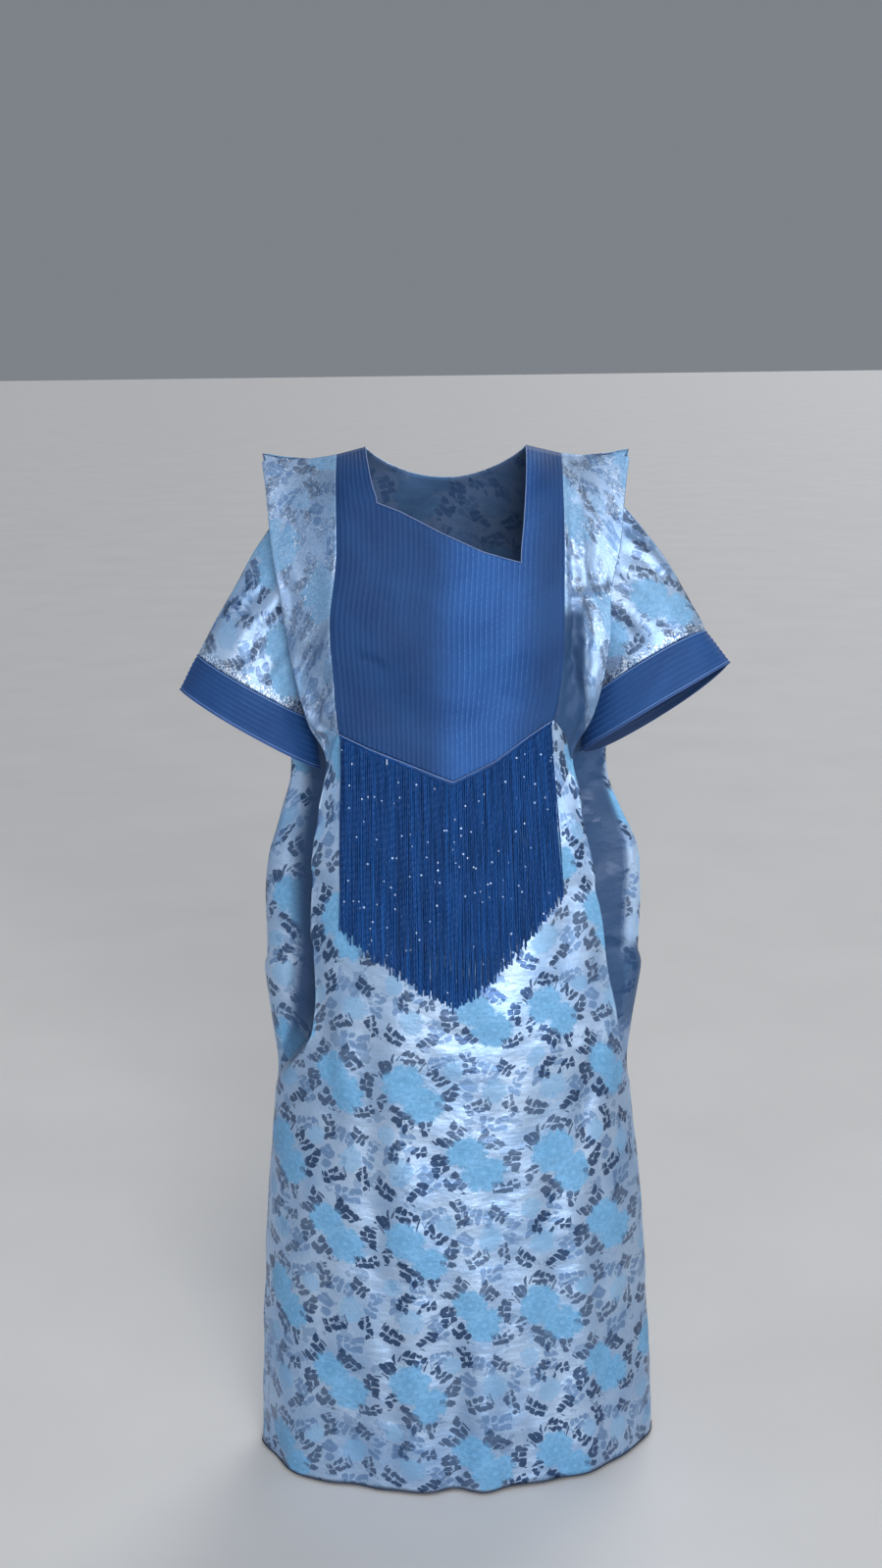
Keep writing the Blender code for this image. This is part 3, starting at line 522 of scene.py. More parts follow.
def windowSpot(x, y, corner):   # a place in one window on the half-drop repeat, and its room there
    across = x / brocade["wide"] - corner[0]
    column = math.floor(across + 0.5)
    up = y / brocade["tall"] - corner[1] - column * 0.5
    a, b = (across - column) * brocade["wide"], (up - math.floor(up + 0.5)) * brocade["tall"]
    return min(brocade["wide"] / 2 - abs(a), brocade["tall"] / 2 - abs(b)), a, b


def repeatWindows(f, place):   # four overlapping windows, so that no motif is cut by a border
    u, v, _ = f.split(place)
    made = []
    for corner in ((0.0, 0.0), (0.5, 0.0), (0.0, 0.5), (0.5, 0.5)):
        across = u / brocade["wide"] - corner[0]
        column = (across + 0.5).floor()
        up = v / brocade["tall"] - corner[1] - column * 0.5
        made.append((corner, f.join((across - column) * brocade["wide"],
                                    (up - (up + 0.5).floor()) * brocade["tall"])))
    return made


def nearestMotif(f, windows, motifs, reach):   # place within a motif, in its own size, and its number
    found = f.join(9.0, 9.0, 0.0)
    for number, (x, y, turn, size) in enumerate(motifs):
        (_, a, b), view = max(((windowSpot(x, y, corner), view) for corner, view in windows),
                              key=lambda choice: choice[0][0])
        local = f.node("ShaderNodeMapping", {"vector_type": "TEXTURE"},
                       {"Vector": view, "Location": (a, b, -number), "Rotation": (0.0, 0.0, turn),
                        "Scale": (size, size, 1.0)})
        flat = f.node("ShaderNodeVectorMath", {"operation": "MULTIPLY"},
                      {0: local, 1: (1 / reach, 1 / reach, 0)})
        far = f.node("ShaderNodeVectorMath", {"operation": "LENGTH"}, {0: flat}, out=1)
        found = f.node("ShaderNodeMix", {"data_type": "VECTOR"},
                       {0: far.maths("LESS_THAN", far, 1.0), 4: found, 5: local}, out=1)
    return found


def sprigLeaves(f, found):   # pairs of leaves along a short bent stem, above 0 inside a leaf
    p, q, number = f.split(found)
    q = q + p * p * ((number * 2.4).sin() * 13.0)
    step = (p / brocade["leafGap"]).floor()
    along, side = p - (step + 0.5) * brocade["leafGap"], abs(q) - brocade["leafOff"]
    luck = f.node("ShaderNodeTexWhiteNoise", {"noise_dimensions": "3D"},
                  {"Vector": f.join(step + 0.5, q.maths("SIGN", q), number)}, out=1)
    chance, shift, lean = f.split(luck)
    strayAlong, straySide = brocade["scatter"]
    along, side = along + (shift - 0.5) * strayAlong, side + (lean - 0.5) * straySide
    turn = 0.9 + (shift + lean - 1.0) * 1.6
    tip, over = along * turn.cos() + side * turn.sin(), side * turn.cos() - along * turn.sin()
    size = chance.smooth(0.08, 0.22) * (0.62 + chance * 0.75)
    value = size - (tip / brocade["leafLength"]) ** 2.0 - (over / brocade["leafWidth"]) ** 2.0
    within = ((brocade["twig"] - abs(p)).smooth(0.0, 0.002)
              * (brocade["sprigHalf"] - abs(q)).smooth(0.0, 0.002))
    stem = (brocade["stem"] - abs(q)).smooth(0.0, 0.0004) * within
    return value * within - (1.0 - within), stem


def blossomPetals(f, found, wander, ragged):   # soft round petals, and the lines woven in them
    x, y, number = f.split(found)
    far = (x * x + y * y).root()
    angle = f.node("ShaderNodeMath", {"operation": "ARCTAN2"}, {0: y, 1: x})
    lobe = abs((angle * 4.0).cos()) ** 0.6
    offset = abs((angle * 4.0 + math.pi / 2).cos()) ** 0.6
    wobble = (wander - 0.5) * 0.46 + ragged * 0.50
    petals = (0.75 + lobe * 0.18 + wobble - far).smooth(-0.14, 0.12)
    petals = petals * (1.0 - (number - (paleFrom - 0.5)).smooth(0.0, 0.1) * 0.45)
    lines = None
    for ring, wave in ((0.58, offset), (0.34, lobe)):
        edge = abs(ring + wave * 0.12 + wobble - far)
        mark = 1.0 - edge.smooth(0.02, 0.10)
        lines = mark if lines is None else lines.most(mark)
    lines = lines.most((1.0 - offset).smooth(0.55, 0.9) * (far - 0.45).smooth(0.0, 0.2) * 0.7)
    return petals, lines.most((0.11 - far).smooth(-0.03, 0.03)) * petals


def strayed(f, place):   # the cloth's ease shifts the pattern a little from place to place
    u, v, _ = f.split(place)
    slack = brocade["slack"]
    return f.join(u + (f.noise(place, 3.4, 1.0) - 0.5) * slack,
                  v + (f.noise(f.join(v, u), 3.4, 1.0) - 0.5) * slack)


def wovenMotifs(f, place, wander, ragged):
    windows, reach = repeatWindows(f, strayed(f, place)), brocade["twig"] * 1.3
    petals, lines = blossomPetals(f, nearestMotif(f, windows, blossoms, 1.0), wander, ragged)
    others, otherLines = blossomPetals(f, nearestMotif(f, windows, partners, 1.0),
                                       ragged + 0.5, wander - 0.5)
    petals, lines = petals.most(others), lines.most(otherLines)
    value, stem = sprigLeaves(f, nearestMotif(f, windows, sprigs, reach))
    leaves = (value + (wander - 0.5) * 0.9 + ragged * 1.2).smooth(-0.06, 0.26)
    leaves = leaves.most(stem * 0.6) * (1.0 - petals * 0.35)
    halo = (value + 1.3).smooth(0.0, 0.9)   # a little way round the leaves
    faint, thin = sprigLeaves(f, nearestMotif(f, windows, ghosts, reach))
    shades = (faint + (wander - 0.5) * 0.8 + ragged * 1.2).smooth(0.0, 0.30)
    return petals, lines, leaves, halo, shades.most(thin * 0.5) * (1.0 - petals)


def satinGround(f, place, mottle, thread, shades, ragged, glitterAndShade):
    cloud = f.noise(place, 21.0, 3.0, 0.65)
    ground = f.blend((mottle * 0.5 + thread * 0.3 + cloud * 0.4).smooth(0.38, 0.76), brocade["shade"],
                     brocade["ground"])
    # painted shade: the flange's and sleeve's ground greyed towards the shade colour
    ground = f.blend(0.45 * glitterAndShade, ground, brocade["shade"])
    islands = (cloud + ragged * 0.10).smooth(0.585, 0.615) * 0.7
    return f.blend(shades.most(islands) * 0.75, ground, brocade["ghost"])


def brocadeRelief(f, u, v, thread, raised, glitterAndShade):   # the weave, over the cloth's soft crumples
    twill = ((u + v) * brocade["twill"]).sin() * 0.5 + thread * 0.8
    fine = f.bump(raised + twill * 0.12, 0.00028, 0.55)
    across, down = brocade["crumple"]
    crumple = f.noise(f.join(u * across, v * down), 1.0, 3.0, 0.55)
    return f.bump(crumple, brocade["crumpleHeight"], 0.50 - 0.25 * glitterAndShade, fine)


def brocadeCloth(name, reverse=False, glitterAndShade=0.0, lace=0.0):
    # glitter: how far the leaves break up into painted glints and dark dots, and how far painted shade
    # greys the ground; lace: height of the dotted border by the cuff
    f = Finish(name)
    place = f.cut()
    u, v, _ = f.split(place)
    wander, ragged = f.noise(place, 60.0, 2.0), f.noise(place, 260.0, 1.0) - 0.5
    petals, lines, leaves, halo, shades = wovenMotifs(f, place, wander, ragged)

    cell = f.node("ShaderNodeVectorMath", {"operation": "FLOOR"}, {0: f.tint(place, brocade["specks"])})
    speck = f.node("ShaderNodeTexWhiteNoise", {"noise_dimensions": "2D"}, {"Vector": cell})
    rare = 0.82 - 0.12 * glitterAndShade
    glints = speck.smooth(rare, rare + 0.01) * halo * (1.0 - leaves * 0.5) * (0.12 + 0.88 * glitterAndShade)
    flecks = (0.22 - speck).smooth(0.0, 0.01) * halo * (1.0 - leaves)
    if lace:
        border = (v * -1.0 + (wander - 0.5) * 0.040 + lace).smooth(0.0, 0.008)
        leaves = leaves.most(border * (0.40 - speck).smooth(0.0, 0.01) * 0.85)
        glints = glints.most(border * speck.smooth(0.70, 0.71))

    mottle = f.noise(place, 9.0, 3.0)
    across, down = brocade["thread"]
    thread = f.noise(f.join(u * across, v * down), 1.0, 1.0)
    flower = f.blend(lines * 0.32, brocade["blossom"], brocade["petalLine"])
    flower = f.tint(flower, 0.80 + wander * 0.40)
    colour = f.blend(petals * (0.90 - 0.40 * glitterAndShade),
                     satinGround(f, place, mottle, thread, shades, ragged, glitterAndShade), flower)
    depth = 0.78 + f.noise(place, 5.5, 1.0).smooth(0.40, 0.60) * 0.22   # paler leaves in some places
    dark = (leaves * depth * (1.0 - 0.60 * glitterAndShade)).most(flecks * (0.70 * glitterAndShade))
    colour = f.blend(dark * 0.92, colour, brocade["leaf"])
    colour = f.blend(glints * 0.65, colour, brocade["glint"])
    # painted shade deep in the folds, read from the fold attribute
    fold = f.node("ShaderNodeAttribute", {"attribute_name": "fold"}, out=2)
    colour = f.blend(fold * 0.98, colour, brocade["deep"])
    colour = f.tint(colour, 1.0 + (0.0 - fold).most(0.0))   # below 0 it paints a highlight on the crest of a pleat
    if reverse:
        # the reverse is the cloth's back, made darker as painted shade for the robe's inside
        colour = f.blend(0.72, f.tint(colour, 0.5), brocade["reverse"])

    rough = (brocade["roughness"] + petals * 0.08 - leaves * 0.16 + (mottle - 0.5) * 0.10
             + (0.25 if reverse else 0.08 * glitterAndShade))
    gleam = (1.0 - petals * 0.80) * (1.0 - fold.most(0.0) * 0.90) * brocade["metallic"] + 0.05
    raised = petals * 0.7 + lines * 0.3 + leaves * 0.6
    return f.set(Base_Color=colour, Roughness=rough, Metallic=gleam * (0.2 if reverse else 1.0),
                 Normal=brocadeRelief(f, u, v, thread, raised, glitterAndShade),
                 Sheen_Weight=brocade["sheen"], Sheen_Roughness=0.4, Sheen_Tint=(0.75, 0.85, 1.0),
                 Anisotropic=brocade["anisotropy"], Specular_IOR_Level=brocade["specular"])


tucked = {   # pintucked cloth: its colours with a painted highlight for the crests, one tuck's pitch on the map and where its crest lies in it
    "colour": (0.009, 0.057, 0.218), "light": (0.020, 0.094, 0.305), "crestHighlight": (0.092, 0.243, 0.560),
    "pitch": 0.0065, "crestAt": 0.20, "roughness": 0.60, "sheen": 0.12,
}


def tuckedCloth(name, tone=1.0, middle=None, crestLightShare=0.35):   # the map's u counts the tucks
    f = Finish(name)
    place = f.cut()
    u, v, _ = f.split(place)
    mottle = f.noise(place, 14.0, 3.0)
    warp = f.noise(f.join(u * 2200.0, v * 240.0), 1.0, 1.0)
    weft = f.noise(f.join(u * 240.0, v * 2200.0), 1.0, 1.0)
    colour = f.blend((mottle * 0.6 + warp * 0.25 + weft * 0.15).smooth(0.30, 0.70),
                     tucked["colour"], tucked["light"])
    crestHighlight = 1.0 - abs((u / tucked["pitch"]).fract() - tucked["crestAt"]).smooth(0.03, 0.13)
    highlightBreaks = f.noise(f.join(u * 40.0, v * 260.0), 1.0, 2.0).smooth(0.35, 0.70)
    if middle is None:
        paintedLightShare = crestLightShare
    else:   # painted highlight on the crests, strongest between the busts, and painted shade darkening the bib's sides
        paintedLightShare = 0.20 + abs(u - middle).smooth(0.080, 0.020) * 0.80
        # painted shade: the bib darker towards its sides
        colour = f.tint(colour, 0.50 + paintedLightShare * 0.58)
    # painted highlight along the tuck crests, broken up along their length
    colour = f.blend(crestHighlight * (0.20 + highlightBreaks * 0.45) * paintedLightShare, colour, tucked["crestHighlight"])
    colour = f.tint(colour, tone)
    fine = f.bump(warp + weft, 0.00018, 0.6)
    both = f.bump(f.noise(place, 30.0, 3.0), 0.003, 0.25, fine)
    return f.set(Base_Color=colour, Roughness=tucked["roughness"] + mottle * 0.12, Metallic=0.0,
                 Normal=both, Sheen_Weight=tucked["sheen"], Sheen_Roughness=0.35,
                 Sheen_Tint=(0.45, 0.65, 1.0), Specular_IOR_Level=0.25)


beads = {   # glass of the strands: a bead whose chance is over sparkle is a clear one, painted pale as a sparkle
    "dark": (0.002, 0.026, 0.115), "royal": (0.008, 0.080, 0.300), "crystal": (0.72, 0.84, 1.00),
    "sparkle": 0.985, "roughness": 0.42, "coat": 0.06, "specular": 0.16,
}


def beadGlass(name):   # the map's u is the strand and its v the bead; every third bead is a seed
    f = Finish(name)
    strand, bead, _ = f.split(f.cut())
    strand, bead = strand.floor(), bead.floor()
    chance = f.node("ShaderNodeTexWhiteNoise", {"noise_dimensions": "2D"},
                    {"Vector": f.join(strand, bead)})
    own = f.node("ShaderNodeTexWhiteNoise", {"noise_dimensions": "1D"}, {"W": strand})
    streak = f.noise(f.join(strand * 0.09, bead * 0.02), 1.0, 2.0).smooth(0.35, 0.70)
    seed = bead.maths("GREATER_THAN", bead.maths("MODULO", bead, 3.0), 1.5)
    crystal = chance.smooth(beads["sparkle"], beads["sparkle"] + 0.001) * seed
    glass = f.blend(own * 0.45 + streak * 0.40 + chance * 0.15, beads["dark"], beads["royal"])
    # painted sparkle: the clear beads' pale colour stands in for their glints
    lit = crystal * (0.35 + own * 0.65)
    return f.set(Base_Color=f.blend(lit, glass, beads["crystal"]),
                 Roughness=beads["roughness"] + own * 0.12, Coat_Weight=beads["coat"],
                 Coat_Roughness=0.15, Specular_IOR_Level=beads["specular"])


def cordFinish(name, colour, metallic=0.1):   # thread or binding, with a twist along it
    f = Finish(name)
    place = f.node("ShaderNodeTexCoord", None, None, out=3)
    grain = f.noise(place, 900.0, 1.0)
    return f.set(Base_Color=f.tint(colour, 0.75 + grain * 0.5), Roughness=0.42 + grain * 0.2,
                 Metallic=metallic, Normal=f.bump(grain, 0.0003, 0.5))


print("finishes")
brocadeOut, brocadeIn = brocadeCloth("brocade_face"), brocadeCloth("brocade_reverse", reverse=True)
# the flange and sleeve copies carry painted glints and painted shade
brocadeFlange = brocadeCloth("brocade_flange", glitterAndShade=0.7)
brocadeSleeve = brocadeCloth("brocade_sleeve", glitterAndShade=0.30, lace=0.016)
# the cuffs' copy is darker than the bib's: painted shade
tuckedOut = tuckedCloth("pintucked_cuff", tone=0.74)
# the tucked cloth's reverse, darkened as painted shade for the inside
tuckedIn = tuckedCloth("pintucked_reverse", tone=0.30)
tuckedBib = tuckedCloth("pintucked_bib", middle=0.190)
beadFinish = beadGlass("glass_beads")
pipingFinish = cordFinish("piping_thread", (0.15, 0.28, 0.58), 0.25)
cuffThread = cordFinish("cuff_thread", (0.030, 0.085, 0.260), 0.0)
seamFinish = cordFinish("seam_thread", (0.13, 0.20, 0.40), 0.0)
bindingFinish = cordFinish("hem_binding_cloth", (0.018, 0.030, 0.062), 0.0)


def tuckRidges(phase, height):   # a narrow tuck, then flat cloth that dips a little to the next one
    part, wide = phase % 1.0, 2 * tucked["crestAt"]
    return height * np.where(part < wide, np.sin(math.pi * np.clip(part / wide, 0, 1)) ** 0.8,
                             -0.22 * np.sin(math.pi * (part - wide) / (1 - wide)))


bib = {"tucks": 44, "perTuck": 8, "straps": (64, 284),   # the columns where the neckline meets them
       "strapRows": 26, "bodyRows": 84, "tuckHeight": 0.0008, "waves": (0.0007, 1.7), "edgeDrop": 0.0006,
       "flat": (0.40, 0.43), "area": 0.155}   # the cut before it is tucked
bibCreases = (   # start and end, across and up, then width and depth
    (-0.118, -0.250, -0.082, -0.268, 0.007, 0.0022), (-0.100, -0.150, -0.070, -0.205, 0.012, 0.0014),
    (0.105, -0.165, 0.085, -0.230, 0.012, 0.0014), (-0.030, -0.330, 0.035, -0.345, 0.012, 0.0010),
    (0.060, -0.300, 0.100, -0.330, 0.010, 0.0012), (-0.110, -0.330, -0.070, -0.300, 0.010, 0.0010),
    (-0.085, -0.262, -0.068, -0.350, 0.034, 0.0050), (0.108, -0.262, 0.086, -0.322, 0.026, 0.0036),
)


def bibPlaces(t):   # x and z of the grid, whose columns follow the tucks: the straps, then the body
    columns = bib["tucks"] * bib["perTuck"] + 1
    number, share = np.arange(columns), np.linspace(0, 1, columns)
    first, last = bib["straps"]
    side = np.where(share < 0.5, -1, 1)
    across = np.clip(np.where(number <= first, number / first,
                              (columns - 1 - number) / (columns - 1 - last)), 0, 1)
    onStrap = (number <= first) | (number >= last)

    corners = {end: end * float(curved(bibSides[end], "x", robe["bibCorner"][end])) for end in (-1, 1)}
    endZ = np.where(side < 0, neckline["z"][0], neckline["z"][-1])
    cornerZ = np.where(side < 0, robe["bibCorner"][-1], robe["bibCorner"][1])
    corner = np.where(onStrap, mix(cornerZ, endZ, across),
                      straight(neckline, "z", mix(corners[-1], corners[1], share)))
    edgeTop = np.where(side < 0, curved(bibSides[-1], "x", 0.0), curved(bibSides[1], "x", 0.0))
    top = shoulderHeight(mix(edgeTop, robe["strapInner"], across))
    bottom = straight(vSeam, "z", mix(vSides[-1], vSides[1], share))
    z = np.where(t <= 1, mix(top, corner, np.clip(t, 0, 1)), mix(corner, bottom, np.clip(t - 1, 0, 1)))

    edgeX = np.where(side < 0, curved(bibSides[-1], "x", z), curved(bibSides[1], "x", z))
    neckX = np.where(side < 0, abs(neckline["x"][0]), neckline["x"][-1])
    strapX = side * mix(edgeX, mix(robe["strapInner"], neckX, np.clip(t, 0, 1)), across)
    bodyX = mix(-curved(bibSides[-1], "x", z), curved(bibSides[1], "x", z), share)
    return mix(strapX, bodyX, ease(0.7, 1.0, t)), z, onStrap


def bibNormals(points):   # each strap's own, so that none looks across the open neck
    first, last = bib["straps"]
    rows = bib["strapRows"]
    out = gridNormals(points)
    out[:rows, :first + 1] = gridNormals(points[:, :first + 1])[:rows]
    out[:rows, last:] = gridNormals(points[:, last:])[:rows]
    out[rows:] = gridNormals(points[rows:])
    return out


def makeBib():
    t = steps((0, 1, bib["strapRows"]), (1, 2, bib["bodyRows"]))[:, None]
    x, z, onStrap = bibPlaces(t)
    points = frontPoint(x, z)
    number = np.arange(points.shape[1])
    tuck = number / bib["perTuck"]
    plan = cutPlan(points, len(number) // 2)
    plan[..., 0] = tuck * tucked["pitch"]

    relief = tuckRidges(tuck, bib["tuckHeight"])[None, :] * ease(
        0.0, 0.02, t) * (0.9 + 0.1 * np.sin(190 * z + 40 * x))
    seen = np.stack((x, z), -1)
    relief = relief + creaseRelief(seen, bibCreases) + softWaves(seen, *bib["waves"])
    edges = np.minimum(number, number[-1] - number) / bib["perTuck"]
    relief = (relief * ease(0.0, 1.0, edges)[None, :]
              - bib["edgeDrop"] * (1 - ease(0.0, 0.8, edges))[None, :])
    points = points + bibNormals(points) * relief[..., None]
    piece = layCloth("bib", points, plan, keep=(t >= 1) | onStrap)
    thicken(piece, robe["lining"], tuckedBib, tuckedIn)
    return dress(piece, "pintuck_blue", "front_bib"), points


print("bib")
bibPiece, bibPoints = makeBib()


flange = {"sheet": 44, "fold": 8, "inner": 18, "strapRows": 44, "bodyRows": 110,
          "seamFrom": 0.148, "waves": 0.0012, "edgeDrop": 0.0007}
flangeCreases = {
    -1: ((-0.150, -0.275, -0.195, -0.360, 0.011, 0.0070), (-0.160, -0.210, -0.205, -0.290, 0.010, 0.0072),
         (-0.165, -0.130, -0.172, -0.215, 0.013, 0.0034), (-0.205, -0.060, -0.190, -0.150, 0.011, 0.0026),
         (-0.150, -0.330, -0.178, -0.392, 0.008, 0.0060), (-0.215, -0.150, -0.195, -0.215, 0.008, 0.0026),
         (-0.180, -0.300, -0.160, -0.390, 0.007, 0.0040),
         (-0.209, -0.323, -0.152, -0.374, 0.007, -0.0042)),
    1: ((0.161, -0.015, 0.167, -0.290, 0.006, 0.0064), (0.158, -0.178, 0.205, -0.186, 0.008, 0.0030),
        (0.172, -0.200, 0.164, -0.330, 0.008, 0.0042), (0.192, -0.210, 0.176, -0.345, 0.007, 0.0036),
        (0.158, -0.230, 0.152, -0.360, 0.007, 0.0042), (0.200, -0.050, 0.192, -0.160, 0.009, 0.0028),
        (0.184, -0.330, 0.158, -0.392, 0.006, 0.0050)),
}
flangeLedges = {
    -1: ((-0.156, -0.204, -0.213, -0.300, 0.0024, -0.0046),
         (-0.209, -0.324, -0.152, -0.376, 0.0022, 0.0034)),
    1: ((0.160, -0.177, 0.207, -0.187, 0.0024, 0.0040),
        (0.164, -0.225, 0.180, -0.330, 0.0026, 0.0030)),
}


def paintedFlangeShade(side, x, z):   # painted shade: over the whole right flange, darker lower down, and on the left flange's lower inner part gathered under the arm
    if side < 0:
        return 0.16 + 0.20 * ease(-0.12, -0.25, z)
    return (ease(-0.185, -0.210, z) * ease(0.184, 0.174, x)
            + 0.55 * ease(-0.285, -0.325, z) * ease(0.168, 0.185, x))


def makeFlange(side):
    s = steps((0, 1, flange["sheet"]), (1, 2, flange["fold"]), (2, 3, flange["inner"]))[None, :]
    t = steps((0, 1, flange["strapRows"]), (1, 2, flange["bodyRows"]))[:, None]
    top, corner, bottom = flangeHeights(side, s)
    z = np.where(t <= 1, mix(top, corner, np.clip(t, 0, 1)), mix(corner, bottom, np.clip(t - 1, 0, 1)))
    s = np.broadcast_to(s, z.shape)
    x, depth = sidePanel(side, "front", s, z)
    points = np.stack((side * x, -depth, z), -1)
    plan = cutPlan(points, 0)
    plan[..., 0] = side * (plan[..., 0] + flange["seamFrom"])   # so the pattern runs on from the front
    if side < 0:
        points, plan, s = points[:, ::-1], plan[:, ::-1], s[:, ::-1]
    out = gridNormals(points)
    front = np.clip(1 - np.abs(s - 0.5) * 2, 0, 1) ** 0.35 * (s < 1.02)
    ends = (ease(0.0, 0.018, plan[:1, :, 1] - plan[..., 1])
            * ease(0.0, 0.012, plan[..., 1] - plan[-1:, :, 1]))
    seen = frontView(points)
    folds = creaseRelief(seen, flangeCreases[side]) + ledgeRelief(seen, flangeLedges[side])
    relief = (folds + softWaves(plan, flange["waves"], 2.1 + side)) * front * ends
    relief = relief - flange["edgeDrop"] * (1 - ease(0.0, 0.05, np.where(s < 1.5, s, 1.0)))
    points = points + out * relief[..., None]
    name = sideNames[side]
    # painted shade in the fold's inner return and where the flange gathers under the arm
    paintedShading = np.maximum(ease(2.0, 2.5, s), paintedFlangeShade(side, points[..., 0], points[..., 2]))
    piece = thicken(layCloth("shoulder_flange_" + name, points, plan, paintedShading=paintedShading),
                    robe["cloth"], brocadeFlange, brocadeIn)
    dress(piece, "brocade", "side_front_" + name)
    return piece, plan


skirt = {"sheet": 34, "fold": 8, "inner": 18, "centre": 66, "rows": 132, "waves": (0.0017, 0.4)}
skirtCreases = (
    (-0.222, -0.552, -0.150, -0.572, 0.010, 0.0030), (-0.205, -0.500, -0.165, -0.470, 0.010, 0.0030),
    (0.165, -0.455, 0.205, -0.520, 0.010, 0.0034), (0.150, -0.560, 0.215, -0.590, 0.012, 0.0026),
    (-0.185, -0.700, -0.165, -0.900, 0.013, 0.0035), (0.200, -0.740, 0.175, -0.950, 0.014, 0.0032),
    (-0.120, -0.800, -0.105, -1.180, 0.020, 0.0034), (-0.040, -0.900, -0.052, -1.300, 0.026, 0.0015),
    (0.060, -0.860, 0.072, -1.260, 0.026, 0.0018), (0.135, -0.930, 0.150, -1.380, 0.020, 0.0034),
    (-0.185, -1.020, -0.200, -1.420, 0.018, 0.0036), (-0.090, -1.200, -0.098, -1.455, 0.016, 0.0030),
    (0.010, -1.180, 0.004, -1.455, 0.024, 0.0016), (0.100, -1.230, 0.108, -1.455, 0.014, 0.0026),
    (0.205, -1.080, 0.222, -1.440, 0.018, 0.0034), (-0.235, -0.640, -0.150, -0.668, 0.009, 0.0020),
    (-0.150, -1.330, -0.060, -1.352, 0.012, 0.0016), (0.040, -1.400, 0.130, -1.385, 0.012, 0.0015),
    (-0.020, -0.760, 0.060, -0.775, 0.014, 0.0014), (0.120, -0.690, 0.190, -0.720, 0.011, 0.0020),
)


def makeSkirt():
    outward = steps((3, 2, skirt["inner"]), (2, 1, skirt["fold"]), (1, 0, skirt["sheet"]))
    centre = np.linspace(0, 1, skirt["centre"] + 1)
    t = np.linspace(0, 1, skirt["rows"] + 1)[:, None]
    grids = []
    for side in (-1, 1):
        s = outward[None, :] if side < 0 else outward[None, ::-1]
        z = mix(flangeHeights(side, s)[2], robe["hem"], t)
        x, depth = sidePanel(side, "front", np.broadcast_to(s, z.shape), z)
        grids.append(np.stack((side * x, -depth, z), -1))
    x = mix(vSides[-1], vSides[1], centre)[None, :]
    z = mix(straight(vSeam, "z", x), robe["hem"], t)
    inner = np.where(centre < 0.5, -grids[0][:, -1:, 0], grids[1][:, :1, 0])
    edge = np.where(centre < 0.5, abs(vSides[-1]), vSides[1])
    wide = x * (inner / edge)
    middle = frontPoint(wide, z)
    points = hang(np.concatenate((grids[0], middle[:, 1:-1], grids[1]), 1))
    half = points.shape[1] // 2
    plan = cutPlan(points, half)
    out = gridNormals(points)
    fade = ease(0.0, 0.014, plan[:1, :, 1] - plan[..., 1])
    number = np.concatenate((outward, np.zeros(skirt["centre"] - 1), outward[::-1]))[None, :]
    sides = ease(3.0, 2.6, number)
    relief = creaseRelief(frontView(points), skirtCreases) + softWaves(plan, *skirt["waves"])
    relief = relief * fade * sides
    points = points + out * relief[..., None]
    # painted shade deep in the side pleats, fading out where they merge
    paintedShading = ease(2.0, 2.4, number) * ease(*robe["merge"][::-1], points[..., 2])
    piece = thicken(layCloth("skirt_front", points, plan, paintedShading=paintedShading), robe["cloth"],
                    brocadeOut, brocadeIn)
    return dress(piece, "brocade", "front_skirt"), points, plan


backCut = {"sheet": 52, "fold": 10, "inner": 18, "strapRows": 20, "bodyRows": 34, "skirtRows": 122,
           "waves": (0.0018, 5.2), "stiff": 0.25,
           "pinched": (-0.695, -0.850), "pinchedShade": 0.92,   # where and how dark the painted shade on the left edge's gather is
           "crestEnds": (-0.40, -0.47), "crestHighlight": 0.45}          # and the painted highlight on the edge above it
backCreases = (
    (-0.060, -0.120, -0.075, -0.330, 0.016, 0.0030), (0.070, -0.100, 0.060, -0.350, 0.016, 0.0034),
    (0.005, -0.180, 0.010, -0.420, 0.018, 0.0026), (-0.160, -0.060, -0.150, -0.330, 0.012, 0.0030),
    (0.165, -0.050, 0.158, -0.340, 0.012, 0.0032), (-0.190, -0.480, -0.080, -0.530, 0.014, 0.0030),
    (0.195, -0.470, 0.090, -0.545, 0.014, 0.0034), (-0.130, -0.620, -0.140, -0.980, 0.020, 0.0040),
    (0.120, -0.600, 0.135, -1.000, 0.020, 0.0040), (-0.020, -0.560, -0.030, -1.060, 0.024, 0.0040),
    (0.060, -0.800, 0.068, -1.300, 0.022, 0.0040), (-0.085, -0.880, -0.092, -1.400, 0.022, 0.0042),
    (-0.190, -0.960, -0.205, -1.430, 0.018, 0.0038), (0.190, -0.940, 0.210, -1.420, 0.018, 0.0038),
    (0.000, -1.150, -0.006, -1.455, 0.018, 0.0034), (0.130, -1.180, 0.140, -1.455, 0.016, 0.0032),
    (-0.140, -1.220, -0.150, -1.455, 0.016, 0.0032), (-0.225, -0.560, -0.170, -0.590, 0.012, 0.0030),
    (0.230, -0.570, 0.170, -0.600, 0.012, 0.0032), (0.205, -0.690, 0.262, -0.703, 0.006, 0.0050),
    (-0.100, -0.400, 0.030, -0.430, 0.016, 0.0020),
)


